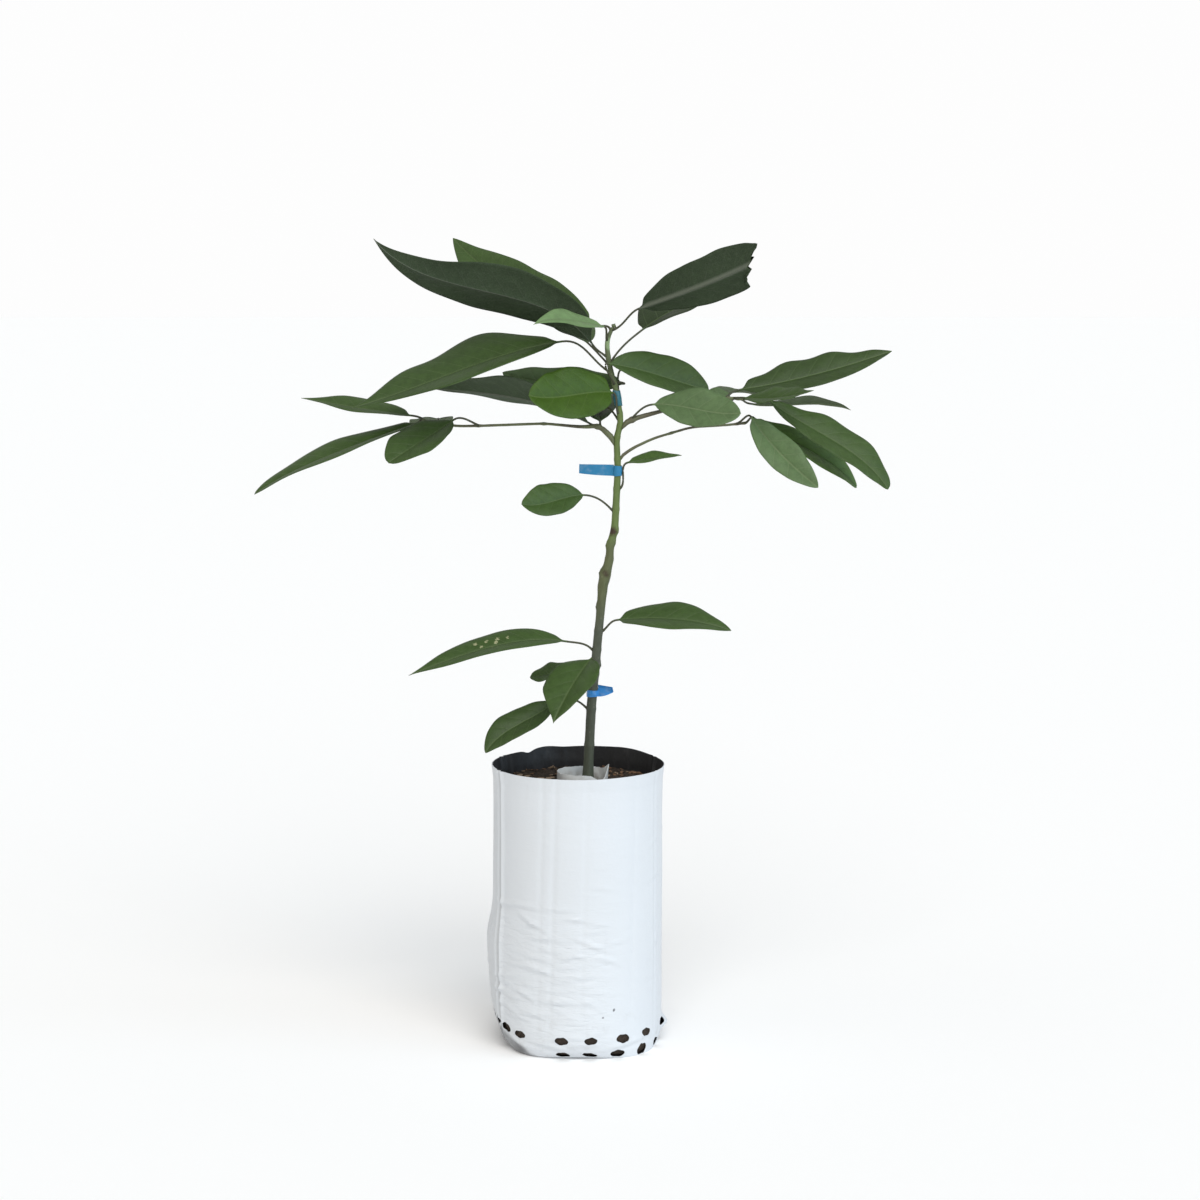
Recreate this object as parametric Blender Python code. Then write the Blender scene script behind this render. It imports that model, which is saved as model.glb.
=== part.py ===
"""A young grafted orchard tree in its grow bag, about 0.8 m tall.

The bag is white film with a black inside, filled with potting mix and pierced by two rows of
drain holes. The stem stands on the mix inside a short film sleeve, leans, swells where the
scion was grafted on, and forks into three thin boughs. Every leaf is one solid, stalk and blade.

Sizes are in millimetres and angles in degrees. The origin is the middle of the bag's flat
underside, +Z is up and -Y is the front. A heading turns from +X towards +Y, and a rise is the
angle above the horizontal.
"""

import math

import bmesh
import bpy
from mathutils import Matrix, Vector

MM = 0.001
CLEAR = 0.3  # between any two solids

# Grow bag: thin film, drawn in at the lower corners, with a folded gusset down its left side.
RIM_HEIGHT = 283
RIM_RADIUS = 86
WALL_RADIUS = 84.5
FILM = 1.0
FLARE_HEIGHT = 14
FOOT_RADIUS = {"left": 62, "front": 65, "right": 76, "back": 65}
FOOT_CORNERS = 13  # the foot is squarish, and reaches this much further at its corners
CORNER_HEIGHT = {"left": 48, "front": 28, "right": 20, "back": 28}
GUSSET_BULGE = 7
GUSSET_HEIGHT = 90
EAR_LENGTH = 6
EAR_HEIGHT = 18
RIM_NOTCH = 4
RIM_NOTCH_HEADING = 122
BAG_SIDES = 40
BAG_LEVELS = (0, 2, 6, 12, 18, 25, 34, 44, 58, 80, 105, 130, 165, 220, 269, 278)

# Drain holes: an upper row round the wall and a lower row round the foot.
HOLE_WIDTH = 14.5
HOLE_TALL = 8.5
UPPER_HOLES_HEIGHT = 21
LOWER_HOLES_HEIGHT = 5
HOLE_STEP = 20
UPPER_HOLES_FRONT = (-173, -160, -147, -133, -101, -81, -58, -36, -8)
UPPER_HOLES_BACK = range(14, 180, HOLE_STEP)
LOWER_HOLES = range(-101, 219, HOLE_STEP)

# Potting mix, and the film sleeve that stands on it round the foot of the stem.
SOIL_HEIGHT = 262
SOIL_MOUND = 3
MIX_GAP = 0.8  # the film isn't drawn tight on the mix
SLEEVE_RADIUS = 25
SLEEVE_FILM = 0.8
SLEEVE_HEIGHT = 13
SLEEVE_CENTRE = (4, 0)
SLEEVE_CORNER = 6  # the torn corner stands this much higher, and leans out
SLEEVE_CORNER_HEADING = 8
SLEEVE_CORNER_LEAN = 2.5
SLEEVE_CUT = 7  # and beside it the film is cut this much lower
SLEEVE_CUT_HEADING = -40

# Stem: each run is (length, heading, rise). It leans right, straightens and leans back.
STEM_FOOT = (9.3, 0)
STEM_RUNS = (
    (80, 8, 87), (124, -6, 84.5), (24, 0, 74.5), (14, 0, 87), (16, 10, 74), (60, -12, 87),
    (32, 170, 87.3), (13, 10, 73), (31, 185, 81.7), (22, 175, 74.5), (15, 190, 78), (18, 180, 88),
    (11, -10, 62),
)  # fmt: skip
STEM_SIDES = 10
STEM_FOOT_RADIUS = 5.0
STEM_TIP_RADIUS = 2.2
ROOT_FLARE = 2.2
GRAFT_AT = 208
GRAFT_SWELL = 1.4
TIP_BUD = 4
STEM_NUBS = (  # distance, heading and reach of each scar
    (122, 0, 1.4), (180, 180, 1.4), (213, 180, 1.8), (242, 180, 1.6), (245, 10, 1.3),
    (257, -15, 1.6),
)  # fmt: skip

# Boughs: where each leaves the stem, its runs, and its radius at the fork and at the tip.
LEFT_BOUGH_AT = 344
LEFT_BOUGH_RUNS = (
    (26, 172, 43), (11, 175, -7), (41, 176, 5), (63, 176, -2.3), (24, 178, -1), (22, 180, 8),
    (13, 180, 13),
)  # fmt: skip
RIGHT_BOUGH_AT = 360
RIGHT_BOUGH_RUNS = ((14, 8, 29), (28, 8, 15), (40, 8, 12), (31, 6, 9.5), (14, 0, -4))
LOWER_BOUGH_AT = 327
LOWER_BOUGH_RUNS = ((17, 5, 38), (25, 5, 25), (39, 5, 16), (36, 5, 3), (17, 5, 6))

BOUGH_SIDES = 8

# Leaves
STALK_RADIUS = 1.1
STALK_STATIONS = (0.35, 0.7)
BLADE_STATIONS = (0.03, 0.12, 0.25, 0.4, 0.55, 0.7, 0.83, 0.93, 1)
LEAF_POINTS = 10
LEAF_FORMS = {  # where the blade is widest, and how sharp its base and its tip are
    "pointed": (0.43, 0.7, 1.15),
    "oval": (0.5, 0.6, 0.7),
    "blunt": (0.56, 0.75, 0.5),
    "round": (0.5, 0.5, 0.5),
    "full": (0.46, 0.62, 0.85),
    "paddle": (0.52, 0.85, 0.55),
    "lance": (0.3, 0.5, 1.0),
}
LEAF_FOLD = 12  # of each half blade, up from the midrib
LEAF_THICKNESS = 0.01  # of its length
LEAF_LEAST_THICKNESS = 0.8

TAPE_THICKNESS = 0.8


def towards(heading, rise):
    heading, rise = math.radians(heading), math.radians(rise)
    flat = math.cos(rise)
    return Vector((flat * math.cos(heading), flat * math.sin(heading), math.sin(rise)))


def hump(value, middle, spread):
    """A smooth rise to 1 at the middle, gone at about twice the spread."""
    return math.exp(-(((value - middle) / spread) ** 2))


def turn_between(angle, other):
    return (angle - other + 180) % 360 - 180


def finish(name, colour, roughness):
    material = bpy.data.materials.new(name)
    material.use_nodes = True
    shader = material.node_tree.nodes["Principled BSDF"]
    shader.inputs["Base Color"].default_value = (*colour, 1)
    shader.inputs["Roughness"].default_value = roughness
    return material


def loft(name, sections, material, hollow=False):
    """A closed solid through sections, rings of as many points each: one face is extruded from
    each ring to the next. A hollow one comes back to its first ring and is welded to it."""
    bm = bmesh.new()
    end = bm.faces.new([bm.verts.new(point) for point in sections[0]])
    for section in [*sections[1:], *sections[:hollow]]:
        end = bmesh.ops.extrude_discrete_faces(bm, faces=[end])["faces"][0]
        for vert, point in zip(end.verts, section):
            vert.co = point
    if hollow:
        bmesh.ops.delete(bm, geom=[end], context="FACES_ONLY")
        bmesh.ops.remove_doubles(bm, verts=bm.verts, dist=0.001)
    else:
        bmesh.ops.holes_fill(bm, edges=bm.edges)
    bmesh.ops.scale(bm, vec=(MM, MM, MM), verts=bm.verts)
    bmesh.ops.recalc_face_normals(bm, faces=bm.faces)
    mesh = bpy.data.meshes.new(name)
    bm.to_mesh(mesh)
    bm.free()
    mesh.shade_smooth()
    mesh.set_sharp_from_angle(angle=math.radians(40))
    mesh.materials.append(material)
    solid = bpy.data.objects.new(name, mesh)
    bpy.context.scene.collection.objects.link(solid)
    return solid


# --- grow bag and what fills it -----------------------------------------------------------


def by_side(sizes, heading):
    """A size that goes smoothly round the bag between those of its four sides."""
    x, y = math.cos(math.radians(heading)), math.sin(math.radians(heading))
    return (
        sizes["right" if x > 0 else "left"] * x * x + sizes["back" if y > 0 else "front"] * y * y
    )


def bag_radius(heading, height):
    corner, foot = by_side(CORNER_HEIGHT, heading), by_side(FOOT_RADIUS, heading)
    foot += FOOT_CORNERS * math.sin(math.radians(2 * heading)) ** 2
    radius = WALL_RADIUS
    if height < corner:
        radius = foot + (WALL_RADIUS - foot) * math.sqrt(1 - (1 - height / corner) ** 2)
    radius += max(0, 1 - (RIM_HEIGHT - height) / FLARE_HEIGHT) * (RIM_RADIUS - WALL_RADIUS)
    side = turn_between(heading, 180)
    return radius + GUSSET_BULGE * hump(height, GUSSET_HEIGHT, 50) * hump(side, 0, 40)


def ear(heading, height):
    """How far the pressed corner of the folded foot stands out of the wall at the right."""
    return EAR_LENGTH * hump(height, EAR_HEIGHT, 6) * hump(turn_between(heading, 0), 0, 6)


def rim_height(heading):
    return RIM_HEIGHT - RIM_NOTCH * hump(turn_between(heading, RIM_NOTCH_HEADING), 0, 9)


def bag_ring(height, inset=0.0, cut_at_rim=False):
    """A ring round the bag's outside, or as far inside it as the inset, square to the wall."""
    ring = []
    for i in range(BAG_SIDES):
        heading = 360 * i / BAG_SIDES
        step = 0.01
        slope = (bag_radius(heading, height + step) - bag_radius(heading, height)) / step
        inward = inset / math.hypot(1, slope)
        top = rim_height(heading) if cut_at_rim else height + slope * inward
        reach = bag_radius(heading, height) - inward + (0 if inset else ear(heading, height))
        ring.append(towards(heading, 0) * reach + Vector((0, 0, top)))
    return ring


def drain_hole(bm, heading, height, slope):
    """One oval punch, pointing out and down by the slope, through the film only."""
    middle = towards(heading, 0) * bag_radius(heading, height) + Vector((0, 0, height))
    out = towards(heading, -slope)
    level = Vector((0, 0, 1)).cross(out).normalized()
    frame = Matrix((level, out.cross(level), out)).transposed().to_4x4()
    oval = Matrix.Diagonal((HOLE_WIDTH / 2, HOLE_TALL / 2, 1, 1))
    bmesh.ops.create_cone(
        bm, cap_ends=True, segments=10, radius1=1, radius2=1, depth=10,
        matrix=Matrix.Scale(MM, 4) @ Matrix.Translation(middle) @ frame @ oval,
    )  # fmt: skip


def drain_hole_punch():
    bm = bmesh.new()
    for heading in (*UPPER_HOLES_FRONT, *UPPER_HOLES_BACK):
        drain_hole(bm, heading, UPPER_HOLES_HEIGHT, slope=15)
    for heading in LOWER_HOLES:
        drain_hole(bm, heading, LOWER_HOLES_HEIGHT, slope=45)
    mesh = bpy.data.meshes.new("drain_hole_punch")
    bm.to_mesh(mesh)
    bm.free()
    punch = bpy.data.objects.new("drain_hole_punch", mesh)
    bpy.context.scene.collection.objects.link(punch)
    punch.hide_render = True
    punch.display_type = "WIRE"
    return punch


def make_grow_bag():
    film = finish("white_film", (0.80, 0.82, 0.86), 0.35)
    outside = [bag_ring(height) for height in BAG_LEVELS]
    inside = [bag_ring(height, inset=FILM) for height in reversed(BAG_LEVELS)]
    rim = [bag_ring(RIM_HEIGHT, cut_at_rim=True), bag_ring(RIM_HEIGHT, FILM, cut_at_rim=True)]
    bag = loft("grow_bag", [*outside, *rim, *inside], film)
    holes = bag.modifiers.new("drain_holes", "BOOLEAN")
    holes.operation = "DIFFERENCE"
    holes.object = drain_hole_punch()
    holes.use_self = True


def make_root_ball():
    """Potting mix packed into the bag. Its top is flat under the sleeve and mounded round it."""
    mix = finish("potting_mix", (0.060, 0.047, 0.036), 0.95)
    inset = FILM + MIX_GAP
    wall = [bag_ring(height, inset) for height in BAG_LEVELS if height < SOIL_HEIGHT - SOIL_MOUND]
    edge = bag_ring(SOIL_HEIGHT - SOIL_MOUND, inset)
    top = []
    for share, drop in ((0.86, 0), (0.66, -SOIL_MOUND), (0.42, 0)):
        top.append([Vector((p.x * share, p.y * share, SOIL_HEIGHT + drop)) for p in edge])
    loft("root_ball", [*wall, edge, *top], mix)


def make_inner_sleeve():
    """A strip of film curled round the foot of the stem, torn to a corner at the right."""
    film = finish("sleeve_film", (0.60, 0.62, 0.62), 0.4)
    sides = 28
    rings = []
    for inset, standing in ((0, 0), (0, 1), (SLEEVE_FILM, 1), (SLEEVE_FILM, 0)):
        ring = []
        for i in range(sides):
            heading = 360 * i / sides
            corner = hump(turn_between(heading, SLEEVE_CORNER_HEADING), 0, 16)
            cut = hump(turn_between(heading, SLEEVE_CUT_HEADING), 0, 22)
            film_height = SLEEVE_HEIGHT + SLEEVE_CORNER * corner - SLEEVE_CUT * cut
            height = SOIL_HEIGHT + CLEAR + standing * film_height
            radius = SLEEVE_RADIUS - inset + standing * SLEEVE_CORNER_LEAN * corner
            ring.append(Vector((*SLEEVE_CENTRE, height)) + towards(heading, 0) * radius)
        rings.append(ring)
    loft("inner_sleeve", rings, film, hollow=True)


# --- stem and boughs ----------------------------------------------------------------------


class Limb:
    """A stem that grows run by run, and turns evenly over a short bend from each run to the
    next. Its radius is a function of the distance along it."""

    STEP = 1.0
    HALF_BEND = 9

    def __init__(self, start, runs, radius):
        self.radius = radius
        self.length = sum(run[0] for run in runs)
        reached = 0
        marks = []
        for length, heading, rise in runs:
            direction = towards(heading, rise)
            bend = min(self.HALF_BEND, length / 2)
            marks += [(reached + bend, direction), (reached + length - bend, direction)]
            reached += length
        marks = [(0, marks[0][1]), *marks, (reached + self.STEP, marks[-1][1])]
        self.points, self.directions = [Vector(start)], [marks[0][1]]
        for count in range(1, round(self.length / self.STEP) + 1):
            distance = count * self.STEP
            before, after = next(pair for pair in zip(marks, marks[1:]) if pair[1][0] >= distance)
            share = (distance - before[0]) / max(after[0] - before[0], self.STEP)
            direction = before[1].lerp(after[1], share).normalized()
            self.points.append(self.points[-1] + direction * self.STEP)
            self.directions.append(direction)

    def at(self, distance):
        """The middle of the limb and its direction, at a distance along it."""
        index = min(round(distance / self.STEP), len(self.points) - 1)
        return self.points[index], self.directions[index]

    def side(self, distance, aim):
        """Where a stalk or bough that heads for aim leaves the bark, and the way out there."""
        middle, along = self.at(distance)
        out = (aim - along * aim.dot(along)).normalized()
        return middle + out * (self.radius(distance) + CLEAR), out


def stem_radius(distance):
    share = distance / sum(run[0] for run in STEM_RUNS)
    radius = STEM_FOOT_RADIUS + (STEM_TIP_RADIUS - STEM_FOOT_RADIUS) * share**1.3
    radius += ROOT_FLARE * math.exp(-distance / 9)
    radius -= 0.8 * hump(distance, 463, 9)
    return radius + GRAFT_SWELL * hump(distance, GRAFT_AT, 16)


def section(middle, along, reference, outline):
    """Points (across, upright) of an outline, set square to a direction at its middle. Upright
    is the way of the reference, as nearly as that allows."""
    upright = (reference - along * reference.dot(along)).normalized()
    across = upright.cross(along)
    return [middle + across * x + upright * y for x, y in outline]


def circle(radius, sides):
    turns = [2 * math.pi * i / sides for i in range(sides)]
    return [(-radius * math.sin(turn), radius * math.cos(turn)) for turn in turns]


def stem_outline(distance):
    """The stem's section, with the scars of old buds and leaves standing out of it."""
    outline = []
    for i in range(STEM_SIDES):
        heading = 360 * i / STEM_SIDES
        radius = stem_radius(distance)
        for at, nub_heading, reach in STEM_NUBS:
            radius += reach * hump(distance, at, 3.5) * hump(turn_between(heading, nub_heading), 0, 32)
        turn = math.radians(heading)
        outline.append((-radius * math.sin(turn), radius * math.cos(turn)))
    return outline


def make_stem():
    """From the flat cut on the mix, past the graft and the forks, to the bud at the tip."""
    stem = Limb((*STEM_FOOT, SOIL_HEIGHT + CLEAR), STEM_RUNS, stem_radius)
    stations = set(range(8, round(stem.length), 9))
    for at, _, _ in STEM_NUBS:
        stations = {station for station in stations if abs(station - at) > 5} | {at - 4, at, at + 4}
    front = Vector((1, 0, 0))
    sections = [section(stem.points[0], Vector((0, 0, 1)), front, stem_outline(0))]
    sections += [section(*stem.at(at), front, stem_outline(at)) for at in sorted(stations)]
    tip, along = stem.at(stem.length)
    for share, swell in ((0, 1.0), (0.35, 1.2), (0.7, 0.85), (1, 0.25)):
        bud = circle(STEM_TIP_RADIUS * swell, STEM_SIDES)
        sections.append(section(tip + along * TIP_BUD * share, along, front, bud))
    loft("trunk", sections, finish("stem_bark", (0.10, 0.13, 0.06), 0.6))
    return stem


def make_bough(name, stem, at, runs, fork_radius, tip_radius, stub):
    """A bough that thins from its stub. It meets the stem with a collar, flat to the bark."""

    def radius(distance):
        return tip_radius + (fork_radius - tip_radius) * math.exp(-((distance / stub) ** 2))

    bough = Limb(stem.at(at)[0], runs, radius)
    collar, out = stem.side(at, bough.directions[0])
    up = Vector((0, 0, 1))
    sections = [section(collar, out, up, circle(fork_radius * 1.25, BOUGH_SIDES))]
    clear_of_bark = round(stem.radius(at) + fork_radius + 2)
    stations = [*range(clear_of_bark, round(bough.length) - 4, 9), bough.length]
    sections += [section(*bough.at(s), up, circle(radius(s), BOUGH_SIDES)) for s in stations]
    loft(name, sections, finish(name + "_bark", (0.12, 0.17, 0.06), 0.55))
    return bough


# --- leaves -------------------------------------------------------------------------------


def bezier(start, start_handle, end_handle, end, t):
    """The point and the direction of travel on a cubic curve."""
    a, b = start.lerp(start_handle, t), start_handle.lerp(end_handle, t)
    c = end_handle.lerp(end, t)
    d, e = a.lerp(b, t), b.lerp(c, t)
    return d.lerp(e, t), (e - d).normalized()


def blade_width(share, widest, base, tip):
    """Half the outline of a leaf, as a share of its greatest: a higher base or tip is sharper."""
    if share < widest:
        return math.sin(math.pi / 2 * share / widest) ** base
    return math.cos(math.pi / 2 * (share - widest) / (1 - widest)) ** tip


def blade_outline(half, thickness, sides):
    """A blade's section: two halves that fold up from the midrib, each a little crowned."""
    fold = math.radians(LEAF_FOLD)
    rise, reach = math.sin(fold) * half, math.cos(fold) * half
    crown = 0.05 * half
    over, under = thickness / 2, -thickness / 2
    right = [(-0.55 * reach, 0.55 * rise + crown), (-reach, rise)]
    left = [(-x * sides[0], y * sides[0]) for x, y in right]
    right = [(x * sides[1], y * sides[1]) for x, y in right]
    outline = [(0, over)]
    outline += [(x, y + over) for x, y in right]
    outline += [(x, y + under) for x, y in reversed(right)]
    outline += [(0, under * 1.6)]
    outline += [(x, y + under) for x, y in left]
    outline += [(x, y + over) for x, y in reversed(left)]
    return outline


def turned(outline, roll):
    cos, sin = math.cos(math.radians(roll)), math.sin(math.radians(roll))
    return [(x * cos - y * sin, x * sin + y * cos) for x, y in outline]


def leaf(
    name, limb, at, stalk, blade, width, form="pointed",
    roll=0, curve=(10, -10), colour="green", sides=(1, 1),
):  # fmt: skip
    """A leaf, stalk and blade in one. The stalk and the blade are each (length, heading, rise),
    straight from end to end. The stalk stands square on the bark, at a distance along the limb,
    and leans towards the limb's tip. The midrib sets off and arrives above the blade's straight
    line by the two angles of its curve. Roll turns the blade about its midrib. Sides widen its
    left and right halves."""
    middle, along = limb.at(at)
    start, out = limb.side(at, towards(*stalk[1:]))
    if at >= limb.length:
        start, out = middle + along * CLEAR, along
    leans_out = (out + along).normalized()
    blade_start = middle + towards(*stalk[1:]) * stalk[0]
    length, heading, rise = blade
    blade_end = blade_start + towards(heading, rise) * length
    sets_off, arrives = towards(heading, rise + curve[0]), towards(heading, rise + curve[1])
    reach = (blade_start - start).length
    stalk_curve = (
        start, start + leans_out * reach * 0.4, blade_start - sets_off * reach * 0.4, blade_start,
    )  # fmt: skip
    blade_curve = (
        blade_start, blade_start + sets_off * length / 3, blade_end - arrives * length / 3, blade_end,
    )  # fmt: skip

    up = Vector((0, 0, 1))
    stalk_outline = circle(STALK_RADIUS, LEAF_POINTS)
    sections = [section(start, out, up, stalk_outline)]
    for t in STALK_STATIONS:
        sections.append(section(*bezier(*stalk_curve, t), up, turned(stalk_outline, roll * t)))
    thickness = max(LEAF_LEAST_THICKNESS, LEAF_THICKNESS * length)
    for t in BLADE_STATIONS:
        half = max(width / 2 * blade_width(t, *LEAF_FORMS[form]), thickness / 2)
        outline = turned(blade_outline(half, thickness, sides), roll)
        sections.append(section(*bezier(*blade_curve, t), up, outline))
    loft(name, sections, LEAF_FINISHES[colour])


# --- ties ---------------------------------------------------------------------------------


def tie(name, limb, at, tape_width, tail_heading, tail_length):
    """Plastic tape round the stem, its two ends pressed together into one flat tail."""
    middle, along = limb.at(at)
    inner = limb.radius(at) * 1.05 + CLEAR
    outer = inner + TAPE_THICKNESS
    root = math.degrees(math.asin(TAPE_THICKNESS / outer))
    turns = [-root, -root / 3, root / 3, root, *range(24, 337, 24)]
    inner_outline, outer_outline = [], []
    for turn in turns:
        angle = math.radians(tail_heading + turn)
        inner_outline.append((-inner * math.sin(angle), inner * math.cos(angle)))
        reach = tail_length if abs(turn) < root / 2 else outer
        if abs(turn) < root / 2:
            angle = math.radians(tail_heading) + math.copysign(TAPE_THICKNESS / reach, turn)
        outer_outline.append((-reach * math.sin(angle), reach * math.cos(angle)))
    front = Vector((1, 0, 0))
    low, high = middle - along * tape_width / 2, middle + along * tape_width / 2
    rings = [
        section(low, along, front, outer_outline), section(high, along, front, outer_outline),
        section(high, along, front, inner_outline), section(low, along, front, inner_outline),
    ]  # fmt: skip
    loft(name, rings, finish(name + "_tape", (0.02, 0.22, 0.42), 0.35), hollow=True)


# --- the plant ----------------------------------------------------------------------------

for leftover in list(bpy.context.scene.objects):
    bpy.data.objects.remove(leftover)

LEAF_FINISHES = {
    "green": finish("leaf_green", (0.063, 0.105, 0.040), 0.45),
    "dark": finish("leaf_dark", (0.043, 0.058, 0.038), 0.5),
    "bright": finish("leaf_bright", (0.063, 0.125, 0.030), 0.45),
    "pale": finish("leaf_pale", (0.14, 0.21, 0.09), 0.5),
}

make_grow_bag()
make_root_ball()
make_inner_sleeve()
stem = make_stem()
left_bough = make_bough("left_bough", stem, LEFT_BOUGH_AT, LEFT_BOUGH_RUNS, 3.1, 1.3, stub=34)
right_bough = make_bough("right_bough", stem, RIGHT_BOUGH_AT, RIGHT_BOUGH_RUNS, 2.8, 1.5, stub=40)
lower_bough = make_bough(
    "lower_right_bough", stem, LOWER_BOUGH_AT, LOWER_BOUGH_RUNS, 1.6, 1.2, stub=30
)

# Top leaves, on the last 80 mm of the stem. Two of them, the dark ones, show their undersides.
leaf(
    "top_leaf_1", stem, 430, (20, 200, 36), (240, 198, 25), 64,
    roll=40, curve=(30, 26), colour="dark", sides=(1.02, 1.1),
)  # fmt: skip
leaf(
    "top_leaf_2", stem, 456, (21, 154, 12), (244, 130, 21), 58, "full",
    roll=-45, curve=(-4, 14), sides=(1.1, 0.93),
)  # fmt: skip
leaf(
    "top_leaf_3", stem, 446, (19, 252, 45), (99, 228, 2), 26,
    roll=-20, curve=(5, -20), colour="pale",
)  # fmt: skip
leaf(
    "top_leaf_4", stem, 457, (36, -22, 35.5), (145, -40, 21), 55, "oval",
    roll=-48, curve=(-3, 5), colour="dark",
)  # fmt: skip
leaf("top_leaf_5", stem, 424, (47, 20, 42), (126, 50, 15), 62, roll=4)
leaf("top_leaf_6", stem, 415, (57, 190, 31), (216, 190, -17), 78, roll=-23, curve=(9, 3))
leaf(
    "top_leaf_7", stem, 402, (12, 40, 0), (132, 157, 4), 42, "oval",
    roll=-45, curve=(-5, 15), colour="dark", sides=(1.05, 0.91),
)  # fmt: skip
leaf(
    "top_leaf_8", stem, 373, (23, 225, 63), (98, 215, 0), 56, "round",
    roll=-60, curve=(8, 15), colour="bright",
)  # fmt: skip
leaf(
    "top_leaf_9", stem, 402, (23, 235, 63), (109, 18, -15), 45, "blunt",
    roll=48, curve=(7, 0), sides=(1.17, 0.97),
)  # fmt: skip

# Left leaves: two at the bough's stub and three round its tip
leaf(
    "left_leaf_1", left_bough, 25, (8, 150, 18), (167, 162, 11), 60, "full",
    roll=27, curve=(17, -8), colour="dark", sides=(1.15, 1),
)  # fmt: skip
leaf("left_leaf_2", left_bough, 22, (8, 90, 40), (125, 93, 12), 44, colour="dark")
leaf(
    "left_leaf_3", left_bough, 143, (26, 198, 14), (86, 218, -27), 51, "blunt",
    roll=-20, curve=(-2, -2),
)  # fmt: skip
leaf(
    "left_leaf_4", left_bough, 200, (4, 185, -40), (176, 186, -23.3), 48, "oval",
    roll=-15, curve=(3, -10), sides=(1.15, 0.92),
)  # fmt: skip
leaf("left_leaf_5", left_bough, 197, (14, 165, 20), (113, 172, 8.5), 38, roll=-18, curve=(-2, 2))

# Right leaves: one near the fork, the rest round the bough's tip
leaf(
    "right_leaf_1", right_bough, 14, (26, -15, 36), (93, -25, -4), 45, "paddle",
    roll=52, curve=(9, 12), colour="pale",
)  # fmt: skip
leaf(
    "right_leaf_2", right_bough, 116, (9, 100, -10), (27, 175, 14), 16,
    roll=-30, curve=(25, -25), colour="pale",
)  # fmt: skip
leaf(
    "right_leaf_3", right_bough, 110, (18, 30, 27), (160, 10, 13.5), 48, "full",
    roll=34, curve=(-6, 5), sides=(0.97, 1.02),
)  # fmt: skip
leaf("right_leaf_4", right_bough, 118, (18, -60, 4), (79, -35, 7), 38, roll=22, curve=(-10, 12))
leaf("right_leaf_5", right_bough, 123, (29, 60, -13), (118, 28, -4.3), 36, roll=-15, curve=(-3, -15))
leaf(
    "right_leaf_6", right_bough, 127, (25, -8, -2), (147, -12, -36), 46, "paddle",
    roll=34, curve=(-2, -22),
)  # fmt: skip

# Lower right leaves, at the tip of the lowest bough
leaf(
    "lower_right_leaf_1", lower_bough, 134.5, (10, 10, 33), (127, 8, -34), 35, "paddle",
    roll=40, curve=(-2, -18), sides=(1, 1.12),
)  # fmt: skip
leaf(
    "lower_right_leaf_2", lower_bough, 126, (19, -40, 22), (100, -34, -41), 35, "oval",
    roll=52, curve=(-12, 8), colour="pale", sides=(1, 0.95),
)  # fmt: skip

# Back leaves: they fill the far side of the crown
leaf("back_leaf_1", stem, 422, (36, 135, 34), (112, 112, 8), 44)
leaf("back_leaf_2", stem, 366, (26, 138, 32), (128, 141, 1), 46)
leaf("back_leaf_3", stem, 368, (60, 86, 52), (108, 64, -5), 42)
leaf("back_leaf_4", right_bough, 98, (18, 75, 12), (100, 62, -3), 40)
leaf("back_leaf_5", left_bough, 181, (16, 100, 15), (100, 103, -17), 44)

# Middle leaves, below the forks
leaf(
    "middle_leaf_1", stem, 276, (37, 200, 27), (73, 214, -4), 37, "paddle",
    roll=-52, curve=(8, 20), sides=(0.93, 1.07),
)  # fmt: skip
leaf("middle_leaf_2", stem, 298, (28.5, -15, 67), (57, -22, 9), 22, "lance", roll=25, curve=(6, 0))

# Foot leaves, below the graft
leaf(
    "foot_leaf_1", stem, 135, (32, 188, 18), (160, 190, -10.7), 40,
    roll=-19, curve=(21, -9), sides=(1.2, 1.04),
)  # fmt: skip
leaf(
    "foot_leaf_2", stem, 155, (22, -8, 31), (114, -10, -4), 48, "full",
    roll=23, curve=(11, -14), sides=(1, 1.2),
)  # fmt: skip
leaf("foot_leaf_3", stem, 121, (14, 250, 33), (94, 242, -34), 51, sides=(1.02, 1.15))
leaf("foot_leaf_4", stem, 112, (22, 160, 11), (50, 155, -13), 26, "blunt", roll=-36, curve=(4, 12))
leaf("foot_leaf_5", stem, 76, (38, 190, 12), (86, 200, -33), 36, "oval", roll=-33, curve=(-6, -26))

tie("upper_tie", stem, 316, 10, 180, 38)
tie("leader_tie", stem, 388, 15, 90, 8)
tie("lower_tie", stem, 92, 9, -20, 21)
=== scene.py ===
"""A young grafted orchard tree in its grow bag: the plain solids, dressed for a picture.

Sizes are in millimetres and angles in degrees, but the camera, floor and lamps are placed in
metres. A heading turns from +X towards +Y, and a rise is the angle above the horizontal. The
origin is the middle of the bag's flat underside, +Z is up and -Y is the front.
"""

import math
import random

import bmesh
import bpy
from mathutils import Matrix, Vector, noise


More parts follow.
